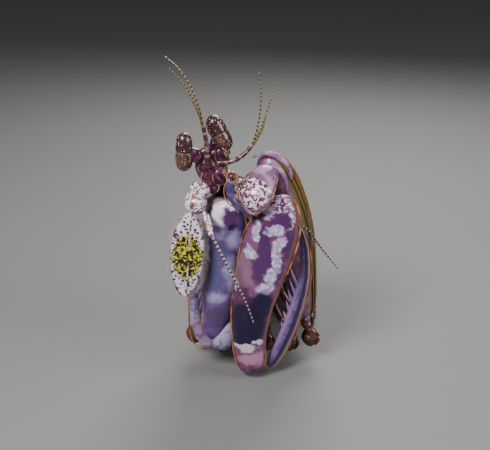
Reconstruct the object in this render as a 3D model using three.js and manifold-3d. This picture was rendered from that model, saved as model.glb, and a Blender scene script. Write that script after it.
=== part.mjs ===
// A life-size mantis shrimp of the spearing kind, reared up on the floor with its claws folded.
// Millimetres, +Z up. The tail lies towards +Y and the reared front faces -Y, turned a little to -X.
// "left" and "right" are the animal's own: its left side is towards +X.
import * as THREE from "three";
import { mergeVertices } from "three/addons/utils/BufferGeometryUtils.js";
import Module from "manifold-3d";

const wasm = await Module();
wasm.setup();

// Driving sizes.
const GAP = 0.5; // how far a neighbour's surface is pushed out before it cuts, which leaves about 0.3
const BODY_HALF_WIDTH = 12.2; // of the widest abdominal somite
const BODY_HEIGHT = 6.4; // from the body's axis to the top of its back
const SOMITE_GAP = 0.32; // between two somites, along the axis
const FLAGELLUM_RADIUS = 0.34;
const FLAGELLUM_TIP_RADIUS = 0.16;
const CORNEA_HALF_LENGTH = 4.5;
const SCALE_HALF_WIDTH = 4.0; // of the oval antennal scale
const SCALE_HALF_THICKNESS = 0.65;
const FLOOR_DIP = 0.25; // how far a foot reaches below the floor before it is cut flat
const SLIVER = 0.03; // triangles flatter than this are merged into their neighbours

const v = (x, y, z) => new THREE.Vector3(x, y, z);
const random = seeded(7);

function seeded(seed) {
  let state = seed;
  return () => {
    state = (state * 16807) % 2147483647;
    return state / 2147483647;
  };
}

// Finishes of the sub-parts.
function finish(colour, roughness) {
  return new THREE.MeshStandardMaterial({ color: colour, roughness, metalness: 0 });
}
const SHELL = finish(0x8a6f93, 0.35);
const CLAW = finish(0x6b4a78, 0.28);
const FLESH = finish(0x5a2f4a, 0.4);
const CORNEA = finish(0x5b4436, 0.2);
const SCALE = finish(0xd9d4dc, 0.4);
const FEELER = finish(0x8b7a45, 0.45);
const LIMB = finish(0x8d5b3f, 0.4);
const FAN = finish(0x7d6aa0, 0.38);

// A closed three.js geometry as a manifold solid, and back.
function solidOf(geometry) {
  const bare = geometry.index ? geometry.toNonIndexed() : geometry.clone();
  bare.deleteAttribute("normal");
  bare.deleteAttribute("uv");
  const merged = mergeVertices(bare, 1e-4);
  const triVerts = new Uint32Array(merged.index.array);
  const vertProperties = merged.attributes.position.array;
  return new wasm.Manifold(new wasm.Mesh({ numProp: 3, vertProperties, triVerts }));
}

function geometryOf(solid) {
  const mesh = solid.getMesh();
  const geometry = new THREE.BufferGeometry();
  geometry.setAttribute("position", new THREE.BufferAttribute(mesh.vertProperties, 3));
  geometry.setIndex(new THREE.BufferAttribute(mesh.triVerts, 1));
  return geometry;
}

const join = (pieces) => pieces.reduce((whole, piece) => whole.add(piece));

function largest(solid) {
  return solid.decompose().reduce((best, body) => (body.volume() > best.volume() ? body : best));
}

// The same solid with every face pushed out, used only to cut a gap round it.
function grown(solid, by = GAP) {
  const geometry = geometryOf(solid);
  geometry.computeVertexNormals();
  const { position, normal } = geometry.attributes;
  for (let i = 0; i < position.count; i += 1) {
    position.setXYZ(
      i,
      position.getX(i) + by * normal.getX(i),
      position.getY(i) + by * normal.getY(i),
      position.getZ(i) + by * normal.getZ(i),
    );
  }
  return solidOf(geometry);
}

// Outlines of unit size, which a loft scales at each station.
function round(sides) {
  const points = [];
  for (let i = 0; i < sides; i += 1) {
    const angle = (2 * Math.PI * (i + 0.5)) / sides;
    points.push(new THREE.Vector2(Math.cos(angle), Math.sin(angle)));
  }
  return new THREE.Shape(points);
}

// The arched back, the side plates that hang beside it, and the flat belly between them.
function somiteOutline() {
  const points = [];
  const arch = 10;
  for (let i = 0; i <= arch; i += 1) {
    const angle = (Math.PI * i) / arch;
    points.push(new THREE.Vector2(Math.cos(angle), 0.95 * Math.sin(angle) ** 0.8));
  }
  points.push(new THREE.Vector2(-1.0, -0.38), new THREE.Vector2(-0.86, -0.56));
  points.push(new THREE.Vector2(-0.62, -0.34), new THREE.Vector2(0.62, -0.34));
  points.push(new THREE.Vector2(0.86, -0.56), new THREE.Vector2(1.0, -0.38));
  return new THREE.Shape(points);
}

// The shield's section: an open arch with a wall, wider than half a turn.
function shieldOutline() {
  const start = -0.32;
  const end = Math.PI + 0.32;
  const steps = 12;
  const outer = [];
  const inner = [];
  for (let i = 0; i <= steps; i += 1) {
    const angle = start + ((end - start) * i) / steps;
    outer.push(new THREE.Vector2(Math.cos(angle), Math.sin(angle)));
    inner.unshift(new THREE.Vector2(0.88 * Math.cos(angle), 0.86 * Math.sin(angle)));
  }
  return new THREE.Shape([...outer, ...inner]);
}

// Extrudes an outline with one step per station, then moves each step to its station.
function loft(outline, stations) {
  const steps = stations.length - 1;
  const geometry = new THREE.ExtrudeGeometry(outline, { depth: 1, steps, bevelEnabled: false });
  const position = geometry.attributes.position;
  const p = v(0, 0, 0);
  for (let i = 0; i < position.count; i += 1) {
    const s = stations[Math.round(position.getZ(i) * steps)];
    p.copy(s.at);
    p.addScaledVector(s.side, position.getX(i) * s.wide);
    p.addScaledVector(s.up, position.getY(i) * s.high);
    position.setXYZ(i, p.x, p.y, p.z);
  }
  return solidOf(geometry);
}

// A station on a curve. hint is roughly the direction of its width.
function station(curve, t, wide, high, hint) {
  const tangent = curve.getTangent(t).normalize();
  const side = hint.clone().addScaledVector(tangent, -hint.dot(tangent)).normalize();
  const up = tangent.clone().cross(side);
  return { at: curve.getPoint(t), side, up, wide, high };
}

// A limb through the given points; sizes is a list of [share of length, half width, half height].
function limb(points, sizes, hint = v(1, 0, 0), sides = 12) {
  const curve = new THREE.CatmullRomCurve3(points, false, "centripetal");
  return loft(round(sides), sizes.map(([t, wide, high]) => station(curve, t, wide, high, hint)));
}

// Rounded, slightly waisted limb segment: swells to its middle and closes at both ends.
function segment(points, wide, high, hint, sides = 8) {
  const profile = [[0, 0.45], [0.07, 0.8], [0.3, 1], [0.65, 0.95], [0.9, 0.8], [1, 0.4]];
  return limb(points, profile.map(([t, k]) => [t, k * wide, k * high]), hint, sides);
}

// A tapering feeler of few sides with a tip.
function feeler(points, radius, steps, sides = 5) {
  const sizes = [];
  for (let i = 0; i <= steps; i += 1) {
    const t = i / steps;
    const r = THREE.MathUtils.lerp(radius, FLAGELLUM_TIP_RADIUS, t ** 1.5);
    sizes.push([t, r, r]);
  }
  return limb(points, sizes, v(0.3, -1, 0.2), sides);
}

function ball(centre, rx, ry, rz, across = 8, down = 5) {
  const geometry = new THREE.SphereGeometry(1, across, down);
  geometry.scale(rx, ry, rz);
  geometry.translate(centre.x, centre.y, centre.z);
  return solidOf(geometry);
}

// A tooth or spine: a cone from its root along a direction, the root sunk by a fifth.
function spine(root, direction, length, radius, sides = 5) {
  const way = direction.clone().normalize();
  const geometry = new THREE.ConeGeometry(radius, length * 1.2, sides);
  geometry.translate(0, length * 0.4, 0);
  geometry.applyQuaternion(new THREE.Quaternion().setFromUnitVectors(v(0, 1, 0), way));
  geometry.translate(root.x, root.y, root.z);
  return solidOf(geometry);
}

// Every finished solid, in the order made; a later one is cut clear of every earlier one it meets.
const part = new THREE.Group();
const made = new Map();
const NO_CUT = new Map(); // nodes that meet a flat end face, and what kind of neighbour has it

const floorCut = solidOf(new THREE.BoxGeometry(400, 400, 40).translate(0, 0, -20));

function add(name, solid, material) {
  let result = solid;
  for (const [neighbour, other] of made) {
    if (result.intersect(grown(other, 2 * GAP)).volume() === 0) continue;
    if (NO_CUT.has(name) && neighbour.startsWith(NO_CUT.get(name))) continue;
    result = result.subtract(grown(other));
    const close = grown(other, GAP / 2);
    if (result.intersect(close).volume() > 0) result = result.subtract(close);
  }
  result = largest(result.subtract(floorCut).simplify(SLIVER));
  made.set(name, result);
  const mesh = new THREE.Mesh(geometryOf(result), material);
  mesh.name = name;
  part.add(mesh);
}

// The body's axis, from between the eyes to the tail.
const axis = new THREE.CatmullRomCurve3([
  v(-7.4, -9, 53),
  v(-6, -4.4, 46.6),
  v(-1.6, 0.6, 39),
  v(3, 4.5, 27.5),
  v(4, 8.5, 19),
  v(4.2, 14.5, 12.8),
  v(4.2, 22, 9.8),
  v(4, 30, 9),
  v(3.4, 46, 8.6),
  v(2.6, 61, 8.2),
  v(1.6, 76, 7.4),
  v(0.6, 86, 6),
]);
const AXIS_LENGTH = axis.getLength();
const BODY_RIGHT = v(-1, 0.3, 0);

// Stations of the body between two arc lengths; profile is [share, width factor, height factor].
function bodyPiece(outline, from, to, wide, high, profile) {
  return loft(outline, profile.map(([k, w, h]) => {
    const t = axis.getUtoTmapping(0, (from + (to - from) * k));
    return station(axis, t, wide * w, high * h, BODY_RIGHT);
  }));
}

// Arc lengths where the sections of the body begin.
const HEAD_END = 9;
const SHIELD_START = 13;
const SHIELD_END = 33;
const THORAX_STARTS = [33.4, 39.4, 45.6, 52, 58.4];
const ABDOMEN_STARTS = [58.4, 68.6, 78.8, 88.8, 98.8, 108.6, 118];

function trunk() {
  const column = bodyPiece(round(14), HEAD_END - 2, SHIELD_END + 0.2, 7.2, 5.6, [
    [0, 0.48, 0.6],
    [0.2, 0.62, 0.75],
    [0.5, 0.9, 0.92],
    [0.8, 1.08, 1],
    [1, 1.1, 1],
  ]);
  add("trunk", column, FLESH);
}

function head() {
  const core = limb(
    [v(-6.2, -4.6, 47.6), v(-7.6, -8.4, 50), v(-8.6, -11.6, 52), v(-8.9, -13.6, 53.6)],
    [[0, 3.4, 3.8], [0.3, 3.4, 4.1], [0.6, 3.5, 3.4], [0.85, 2.9, 2.4], [1, 1.7, 1.3]],
    v(1, -0.4, 0),
    12,
  );
  const labrum = ball(v(-8.4, -11.2, 48.2), 2.2, 2, 2.6);
  const mandibles = [-1, 1].map((s) => ball(v(-7.6 + 2.2 * s, -9 - 0.9 * s, 46.4), 1.6, 1.8, 2.6));
  add("head", join([core, labrum, ...mandibles]), FLESH);
}

function rostralPlate() {
  const plate = limb(
    [v(-5.6, -2.6, 51.4), v(-6.6, -5.6, 54), v(-7.4, -8.2, 55.6)],
    [[0, 2.6, 0.7], [0.3, 2.9, 0.8], [0.65, 2.1, 0.7], [0.9, 0.9, 0.5], [1, 0.4, 0.3]],
    v(1, -0.4, 0),
    12,
  );
  add("rostral_plate", plate, SHELL);
}

function carapace() {
  const shield = bodyPiece(shieldOutline(), SHIELD_START, SHIELD_END, 10.2, 8.6, [
    [0, 0.5, 0.5],
    [0.06, 0.6, 0.62],
    [0.3, 0.84, 0.88],
    [0.6, 1, 1],
    [0.85, 1.08, 1.02],
    [0.96, 1.1, 1.02],
    [1, 1.06, 0.99],
  ]);
  add("carapace", shield, SHELL);
}

// A somite tucks its front under the one before and flares to its own rear edge.
const SOMITE_PROFILE = [
  [0, 0.93, 0.9],
  [0.12, 0.94, 0.92],
  [0.35, 1, 1],
  [0.88, 1.02, 1.03],
  [1, 1.0, 0.99],
];

for (let i = 1; i <= 8; i += 1) {
  NO_CUT.set(`abdomen_${i}`, i === 1 ? "thorax" : "abdomen");
  NO_CUT.set(`thorax_${i}`, "thorax");
}

function thorax() {
  for (let i = 0; i < 4; i += 1) {
    const from = THORAX_STARTS[i] + SOMITE_GAP / 2;
    const to = THORAX_STARTS[i + 1] - SOMITE_GAP / 2;
    const wide = 9.8 + 0.65 * i;
    add(`thorax_${i + 5}`, bodyPiece(somiteOutline(), from, to, wide, 6.9 - 0.1 * i, SOMITE_PROFILE), SHELL);
  }
}

function abdomen() {
  for (let i = 0; i < 6; i += 1) {
    const from = ABDOMEN_STARTS[i] + SOMITE_GAP / 2;
    const to = ABDOMEN_STARTS[i + 1] - SOMITE_GAP / 2;
    const taper = [0.98, 1, 1, 1, 0.97, 0.9][i];
    const sides = bodyPiece(
      somiteOutline(),
      from,
      to,
      BODY_HALF_WIDTH * taper,
      BODY_HEIGHT * taper,
      SOMITE_PROFILE,
    );
    add(`abdomen_${i + 1}`, sides, SHELL);
  }
}

// The tail plate: broad and low, with a raised middle and a toothed rear edge.
const TELSON_FROM = v(0.95, 83, 6.5);
const TELSON_TO = v(-0.6, 99.4, 3.2);

function telson() {
  const plate = limb(
    [TELSON_FROM, TELSON_FROM.clone().lerp(TELSON_TO, 0.5), TELSON_TO],
    [[0, 8.6, 2.6], [0.2, 10, 2.6], [0.5, 10.4, 2.2], [0.8, 9.4, 1.5], [1, 7.4, 0.7]],
    v(-1, 0, 0),
    16,
  );
  const boss = ball(v(0.5, 89.5, 7.6), 2.6, 5, 1.6, 10, 6);
  const rear = [-6.6, -4, -1.4, 1.4, 4, 6.6].map((x) =>
    spine(v(-0.5 + x, 98.6 - 0.02 * x * x, 3.2), v(x * 0.06, 1, -0.2), 2.6, 0.8),
  );
  const corners = [-9.4, 9.4].map((x) => spine(v(x, 95, 3.8), v(x * 0.05, 1, -0.2), 3.2, 0.9));
  add("telson", join([plate, boss, ...rear, ...corners]), FAN);
}

// One tail fan limb: a stem, an outer and an inner paddle, and spines along the outer edge.
function uropod(name, s) {
  const root = v(1.1 + 8.6 * s, 82, 3.6);
  const stem = segment([root, v(1 + 11.6 * s, 86.5, 2.6)], 2.6, 1.5, v(-1, 0, 0));
  const outer = limb(
    [v(1 + 12 * s, 85, 2.5), v(0.8 + 15 * s, 92, 1.5), v(0.5 + 16.2 * s, 100, 0.6)],
    [[0, 1.8, 1], [0.2, 2.6, 1], [0.5, 3.1, 0.8], [0.8, 2.6, 0.6], [1, 1.1, 0.4]],
    v(-1, 0, 0),
    10,
  );
  const inner = limb(
    [v(1 + 11 * s, 86, 1.8), v(0.8 + 11.4 * s, 91, 1.1), v(0.6 + 11.2 * s, 97, 0.5)],
    [[0, 1.3, 0.8], [0.3, 1.9, 0.7], [0.7, 1.7, 0.6], [1, 0.7, 0.4]],
    v(-1, 0, 0),
    10,
  );
  const spines = [0, 1, 2, 3, 4].map((i) =>
    spine(v(1 + (15.8 + 0.62 * i) * s, 89 + 1.9 * i, 1.9 - 0.2 * i), v(0.7 * s, 1, -0.1), 2.1, 0.5),
  );
  add(name, join([stem, outer, inner, ...spines]), FAN);
}

// A swimming limb: two broad leaves on a short stem, laid back along the belly.
function pleopod(name, index, s) {
  const middle = axis.getPointAt((ABDOMEN_STARTS[index] + 2) / AXIS_LENGTH);
  const { y } = middle;
  const x = middle.x + 5.4 * s;
  const stem = segment([v(x, y, middle.z - 2), v(x, y + 1.2, 3.2)], 2.2, 1.1, v(-1, 0, 0), 7);
  const leaf = limb(
    [v(x, y + 0.2, 3.4), v(x + 0.4 * s, y + 3.4, 1.7), v(x + 0.6 * s, y + 7.6, 0.3)],
    [[0, 2.1, 0.6], [0.3, 3.5, 0.6], [0.7, 3.7, 0.55], [1, 1.9, 0.4]],
    v(-1, 0, 0),
    8,
  );
  add(name, join([stem, leaf]), LIMB);
}

// The folded claws. Each side has its own places, because the animal is seen half turned.
const CLAWS = {
  left: {
    lower: [v(7.5, 1.5, 23), v(9.2, 1.2, 14), v(13.5, 1.8, 7.2)],
    arm: [v(15.4, 1.6, 8), v(13.6, -0.5, 17.4), v(11.8, -3.4, 33), v(8.6, -6.4, 45), v(6.4, -7.8, 50), v(5, -8.4, 54)],
    wrist: [v(5.8, -12, 50.8), v(3.4, -16.4, 49.4), v(2.2, -19, 46.6), v(1.7, -19.8, 42.8)],
    hand: [
      v(6.8, -15.6, 46.5),
      v(7.4, -16.4, 41.5),
      v(5.6, -17, 35),
      v(4.4, -17, 30),
      v(2.8, -17, 24.6),
      v(1.4, -17, 18.2),
      v(0.9, -17, 10.2),
      v(1.4, -16.6, 5),
      v(2.2, -16.4, 1.4),
    ],
    blade: [
      v(5.6, -14.8, 2.2),
      v(8.4, -14, 5.8),
      v(11.5, -13.4, 14.6),
      v(13.2, -13, 20),
      v(14.3, -12.8, 24.5),
      v(14.6, -12.6, 29.8),
      v(13.2, -12.4, 36),
      v(12.2, -12.4, 38.5),
    ],
    teeth: [0.14, 0.57],
    handSize: 1,
    inward: -1,
  },
  right: {
    lower: [v(-1, 1.5, 23), v(-3.4, 0.8, 14), v(-7.6, 1, 7.2)],
    arm: [v(-9.2, 0.6, 8), v(-9.6, -0.6, 16), v(-9.4, -2.4, 28), v(-8.8, -4, 39.6)],
    wrist: [v(-8, -5.2, 40.6), v(-6.6, -8.2, 41), v(-4.6, -11.4, 42.2), v(-3.6, -13.2, 42.6)],
    hand: [
      v(-3.8, -13.6, 44),
      v(-4.4, -13, 40),
      v(-4.8, -12.5, 34.5),
      v(-5.2, -12.7, 28.5),
      v(-5.8, -12.7, 21.6),
      v(-6.8, -12.7, 14),
      v(-8.2, -12.5, 9),
    ],
    blade: [
      v(-4, -13, 13.4),
      v(-4.9, -13.4, 8.6),
      v(-7.4, -12.6, 4.2),
      v(-10.6, -11, 6.6),
      v(-12.2, -10, 14),
      v(-13, -9.2, 22),
      v(-12.2, -8.8, 31),
    ],
    teeth: [0.4, 0.8],
    handSize: 0.88,
    inward: 1,
  },
};
const ARM_SIZES = [[0, 2, 1.8], [0.06, 3.1, 2.8], [0.25, 4.5, 3.9], [0.55, 5, 4.2], [0.8, 4.9, 4.2], [0.95, 3.8, 3.3], [1, 2, 1.8]];
const WRIST_SIZES = [[0, 2.6, 2.4], [0.25, 3.6, 3], [0.6, 4.3, 2.8], [0.85, 2.9, 1.8], [1, 0.8, 0.6]];
const HAND_SIZES = [
  [0, 2.6, 1.6],
  [0.04, 4.2, 2.4],
  [0.11, 5.4, 3],
  [0.26, 6.4, 3.4],
  [0.49, 5.3, 3.4],
  [0.63, 4.7, 3.2],
  [0.81, 3.9, 2.8],
  [0.92, 3.7, 2.4],
  [0.97, 2.9, 2],
  [1, 1.6, 1.2],
];
const BLADE_SIZES = [[0, 1.1, 0.9], [0.06, 1.7, 1.4], [0.25, 1.9, 1.5], [0.45, 1.75, 1.4], [0.65, 1.4, 1.2], [0.85, 1.05, 0.9], [0.95, 0.6, 0.5], [1, 0.25, 0.25]];
const HEEL_SIZES = [[0, 1.4, 1.2], [0.08, 2.8, 2], [0.2, 3.3, 2.1], [0.38, 2.2, 1.6], [0.6, 1.5, 1.2], [0.85, 1, 0.8], [1, 0.3, 0.3]];
const TOOTH_COUNT = 8;
const SHORTEST_TOOTH = 1.4;
const LONGEST_TOOTH = 5.6;

// Teeth stand on the blade's inner edge and point up and inwards, longer towards its tip.
function bladeTeeth({ blade, teeth: [first, last], inward, handSize }) {
  const curve = new THREE.CatmullRomCurve3(blade, false, "centripetal");
  const row = [];
  for (let i = 0; i < TOOTH_COUNT; i += 1) {
    const k = i / (TOOTH_COUNT - 1);
    const t = THREE.MathUtils.lerp(first, last, k ** 0.9);
    const length = THREE.MathUtils.lerp(SHORTEST_TOOTH, LONGEST_TOOTH, k ** 1.2) * (0.94 + 0.12 * random());
    const way = curve.getTangent(t).multiplyScalar(0.92).add(v(0.62 * inward, 0, 0.1));
    const root = curve.getPoint(t).add(v(1.1 * inward * handSize, 0, 0));
    row.push(spine(root, way, length * handSize, 0.66));
  }
  return row;
}

function claw(side) {
  const c = CLAWS[side];
  const sized = (sizes) => sizes.map(([t, wide, high]) => [t, wide * c.handSize, high * c.handSize]);
  const armSide = v(1, -0.4, 0);
  add(`claw_ischium_${side}`, segment(c.lower, 2.7, 2.5, armSide), LIMB);
  add(`claw_merus_${side}`, limb(c.arm, sized(ARM_SIZES), armSide, 14), CLAW);
  add(`claw_carpus_${side}`, limb(c.wrist, sized(WRIST_SIZES), v(1, -0.3, 0), 12), CLAW);
  add(`claw_propodus_${side}`, limb(c.hand, sized(HAND_SIZES), v(1, -0.1, 0), 14), CLAW);
  const bladeSizes = side === "left" ? BLADE_SIZES : HEEL_SIZES;
  const blade = limb(c.blade, sized(bladeSizes), v(1, 0, 0), 10);
  add(`claw_dactyl_${side}`, join([blade, ...bladeTeeth(c)]), CLAW);
}

// Eyes: an oval cornea of two lobes with a pinched band between, across the end of a stalk.
const EYES = {
  right: { centre: v(-13.7, -14, 55.9), way: v(0.02, 0, 1), radius: 1.95, stalk: v(-9.6, -12.2, 54.4) },
  left: { centre: v(-5.9, -10, 59.2), way: v(-0.43, 0, 0.9), radius: 2.15, stalk: v(-6.9, -9.2, 54.6) },
};

function eye(side) {
  const e = EYES[side];
  const way = e.way.clone().normalize();
  const end = (k) => e.centre.clone().addScaledVector(way, k * CORNEA_HALF_LENGTH);
  const r = e.radius;
  const sizes = [[0, 0.35], [0.05, 0.66], [0.16, 0.94], [0.32, 1.04], [0.47, 0.99], [0.5, 0.95], [0.53, 0.99],
    [0.68, 1.0], [0.84, 0.88], [0.95, 0.6], [1, 0.3]];
  const cornea = limb([end(-1), e.centre, end(1)], sizes.map(([t, k]) => [t, r * k, r * k]), v(1, 0, 0), 14);
  const stalk = segment([e.stalk, e.stalk.clone().lerp(e.centre, 0.5), e.centre], 1.9, 1.7, v(0, -1, 0.2), 12);
  add(`eye_${side}`, cornea, CORNEA);
  add(`eyestalk_${side}`, stalk, FLESH);
}

// Antennules: a stalk of three segments with three ringed whips.
const ANTENNULES = {
  right: {
    stalk: [v(-8.4, -13.6, 53.2), v(-8.5, -14.2, 56), v(-8.7, -14.2, 58.5), v(-9.1, -14, 60.6), v(-9.4, -14, 62.4)],
    whips: [
      [v(-9.3, -14, 62), v(-10.2, -13.4, 66), v(-12.2, -12.6, 70.8), v(-14.8, -11.4, 74.4), v(-17.8, -10, 76.8)],
      [v(-9.6, -14, 62), v(-11, -14.4, 67), v(-13.6, -14.6, 71.8), v(-16.6, -14.6, 75)],
      [v(-9.5, -14.4, 62), v(-10.6, -16, 66), v(-12.4, -16.8, 69.6)],
    ],
  },
  left: {
    stalk: [v(-6.2, -13, 53), v(-3.4, -13.4, 53.4), v(-1.1, -13.2, 54.4), v(0.6, -12.8, 55.8), v(1.8, -12.4, 57.4)],
    whips: [
      [v(1.7, -12.4, 57), v(3, -12, 62), v(3.6, -12, 68.4), v(3.1, -12, 73.6)],
      [v(1.9, -12.4, 57), v(4.3, -11, 62.4), v(5.7, -10, 66.6), v(7.3, -9, 70.7)],
      [v(1.9, -12.8, 57), v(3.9, -13.4, 61), v(4.8, -14, 64.6)],
    ],
  },
};

function antennule(side) {
  const a = ANTENNULES[side];
  const stalk = limb(
    a.stalk,
    [[0, 1, 1], [0.25, 0.9, 0.9], [0.27, 0.7, 0.7], [0.5, 0.85, 0.85], [0.53, 0.6, 0.6], [0.75, 0.75, 0.75],
      [0.78, 0.55, 0.55], [1, 0.65, 0.65]],
    v(0, -1, 0.2),
    7,
  );
  const whips = a.whips.map((points) => feeler(points, FLAGELLUM_RADIUS, 5, 4));
  add(`antennule_${side}`, join([stalk, ...whips]), FEELER);
}

// Antennae: a knuckle beside the mouth that carries the whip and the oval scale.
const ANTENNAE = {
  right: {
    knuckle: [v(-9.6, -11.4, 47.4), v(-11.2, -14.6, 45), v(-11, -17, 42.2)],
    whip: [
      v(-9.2, -17.2, 42.8),
      v(-8.4, -19, 41.4),
      v(-8, -20.4, 39.7),
      v(-7.2, -21, 37.9),
      v(-2.9, -22.5, 29.5),
      v(0, -23, 23.5),
      v(2.1, -23, 17.5),
    ],
    scaleTop: v(-12.5, -17.5, 42.9),
    scaleLow: v(-14.1, -17.5, 21.9),
  },
  left: {
    knuckle: [v(-4.6, -7.8, 47), v(-1.6, -8, 45.6), v(0.6, -8.2, 43.2)],
    whip: [
      v(0.8, -8.6, 44),
      v(2.6, -10, 42.4),
      v(5.4, -11.4, 41),
      v(9.6, -11.4, 39.2),
      v(14.6, -10.4, 36),
      v(18, -9, 31),
      v(22.5, -8, 25),
    ],
    scaleTop: v(1.4, -8.4, 43),
    scaleLow: v(3, -8, 25),
  },
};

function antenna(side) {
  const a = ANTENNAE[side];
  const knuckle = limb(a.knuckle, [[0, 2, 1.8], [0.3, 2.8, 2.5], [0.75, 2.7, 2.4], [1, 1.5, 1.3]], v(1, -0.3, 0), 12);
  const base = segment(a.whip.slice(0, 4), 0.95, 0.95, v(0, -1, 0.3), 6);
  const whip = feeler(a.whip.slice(2), 0.42, 8, 4);
  add(`antennal_scale_${side}`, scaleBlade(a.scaleTop, a.scaleLow), SCALE);
  add(`antenna_${side}`, join([knuckle, base, whip]), FEELER);
}

// The antennal scale: an oval blade, a little dished, thickest along its middle.
function scaleBlade(top, low) {
  const middle = top.clone().lerp(low, 0.5).add(v(0, -1, 0));
  const sizes = [];
  const steps = 10;
  for (let i = 0; i <= steps; i += 1) {
    const t = i / steps;
    const oval = Math.sqrt(Math.max(0.03, 1 - (2 * t - 1) ** 2)) * (1 + 0.1 * (0.5 - t));
    sizes.push([t, SCALE_HALF_WIDTH * oval, SCALE_HALF_THICKNESS * (0.5 + 0.5 * oval)]);
  }
  return limb([top, middle, low], sizes, v(1, 0, 0), 14);
}

// Mouth limbs: thin arms that end in a round hand with a hooked finger.
const MAXILLIPEDS = [
  { name: "maxilliped_3_left", arm: [v(6.4, 1.4, 24.4), v(9.6, -7.4, 17), v(14.2, -7.6, 11)], hand: v(16.2, -7.2, 6.4) },
  { name: "maxilliped_4_left", arm: [v(5, 4, 20.6), v(7, -8, 15), v(9.8, -8.6, 10.4)], hand: v(11, -8.8, 6) },
  { name: "maxilliped_5_left", arm: [v(4.4, 6.5, 17.6), v(4.4, -6, 13), v(5.4, -7, 9.4)], hand: v(5.4, -7.6, 5.2) },
  { name: "maxilliped_3_right", arm: [v(-1.8, 1.2, 24.6), v(-6.6, -6.2, 18), v(-10.6, -6.4, 11)], hand: v(-12.6, -5.8, 6.6) },
  { name: "maxilliped_4_right", arm: [v(0, 4, 21), v(-4.6, -6.6, 15), v(-6.6, -6.8, 10)], hand: v(-7.8, -6.6, 5.6) },
  { name: "maxilliped_5_right", arm: [v(1.4, 6.5, 18), v(-1.6, -5.6, 13), v(-2.4, -6.4, 9)], hand: v(-2.4, -6.8, 5) },
];

function maxilliped({ name, arm, hand }) {
  const limbPart = limb(arm, [[0, 1.2, 1.1], [0.5, 0.9, 0.85], [0.55, 1.1, 1], [1, 0.9, 0.8]], v(1, 0, 0), 6);
  const wrist = segment([arm[2].clone().add(v(0, 0, 0.8)), hand.clone().add(v(0, 0, 1.4))], 1.2, 1, v(1, 0, 0), 6);
  const disc = ball(hand, 2.3, 1.15, 2.8, 8, 5);
  const finger = limb(
    [hand.clone().add(v(1.1, 0, -1.8)), hand.clone().add(v(2.2, -0.6, -0.6)), hand.clone().add(v(1.9, -1, 1.6))],
    [[0, 0.7, 0.6], [0.5, 0.55, 0.5], [1, 0.2, 0.2]],
    v(1, 0, 0),
    6,
  );
  add(name, join([limbPart, wrist, disc, finger]), LIMB);
}

// Walking legs: three slender pairs under the bend of the body, each with a side branch.
function walkingLeg(index, side) {
  const s = side === "left" ? 1 : -1;
  const y = 12.2 + 4.4 * index;
  const high = 13.6 - 2.6 * index;
  const hip = v(4 + 5 * s, y, high - 3.4);
  const knee = v(4 + 12 * s, y - 0.8, 7.4);
  const foot = v(4 + (14 + 0.8 * index) * s, y - 1.6, -FLOOR_DIP);
  const thigh = segment([hip, hip.clone().lerp(knee, 0.5).add(v(0, 0, 0.8)), knee], 1.5, 1.3, v(0, 1, 0), 7);
  const shin = limb([knee, knee.clone().lerp(foot, 0.5).add(v(0.8 * s, 0, 0.4)), foot],
    [[0, 0.9, 0.9], [0.3, 1.0, 0.8], [1, 0.6, 0.5]], v(0, 1, 0), 6);
  const branch = limb([knee.clone().add(v(-1.2 * s, 0.3, 0)), knee.clone().add(v(-1.6 * s, 1.2, -3)), knee.clone().add(v(-1.4 * s, 1.6, -6))],
    [[0, 0.6, 0.6], [1, 0.3, 0.3]], v(0, 1, 0), 5);
  add(`leg_${index + 1}_${side}`, join([thigh, shin, branch]), LIMB);
}

trunk();
head();
rostralPlate();
carapace();
thorax();
abdomen();
telson();
uropod("uropod_left", 1);
uropod("uropod_right", -1);
for (let i = 0; i < 5; i += 1) {
  pleopod(`pleopod_${i + 1}_left`, i, 1);
  pleopod(`pleopod_${i + 1}_right`, i, -1);
}
claw("left");
claw("right");
eye("left");
eye("right");
antennule("right");
antennule("left");
antenna("right");
antenna("left");
MAXILLIPEDS.forEach(maxilliped);
for (let i = 0; i < 3; i += 1) {
  walkingLeg(i, "left");
  walkingLeg(i, "right");
}

// The origin is the middle of the footprint, on the floor.
const box = new THREE.Box3().setFromObject(part);
part.position.set(-(box.min.x + box.max.x) / 2, -(box.min.y + box.max.y) / 2, -box.min.z);

export default part;
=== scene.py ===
# %% [markdown]
# A spearing mantis shrimp stands reared in front of its burrow, claws folded and eyes up.
# The solid model gives every part its place. This lesson gives each part its real surface:
# thin horny plates, toothed claws, lobed eyes, ringed feelers and a fringed tail fan.
# %% Libraries and the solid model
import math
import random

import bpy
from mathutils import Matrix, Vector


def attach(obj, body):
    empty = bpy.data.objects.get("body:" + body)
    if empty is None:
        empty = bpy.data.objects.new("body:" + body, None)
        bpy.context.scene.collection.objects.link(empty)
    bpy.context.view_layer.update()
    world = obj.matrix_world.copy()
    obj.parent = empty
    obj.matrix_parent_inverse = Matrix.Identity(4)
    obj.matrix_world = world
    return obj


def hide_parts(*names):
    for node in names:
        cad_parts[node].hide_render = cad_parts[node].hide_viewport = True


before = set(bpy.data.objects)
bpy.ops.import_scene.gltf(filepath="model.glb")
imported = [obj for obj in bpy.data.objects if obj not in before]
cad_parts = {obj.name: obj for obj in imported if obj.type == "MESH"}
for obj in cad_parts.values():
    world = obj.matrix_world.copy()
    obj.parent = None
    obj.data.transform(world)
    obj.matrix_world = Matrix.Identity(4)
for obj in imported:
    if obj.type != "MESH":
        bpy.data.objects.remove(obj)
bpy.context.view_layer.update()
print("solid model:", len(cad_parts), "nodes")

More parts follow.
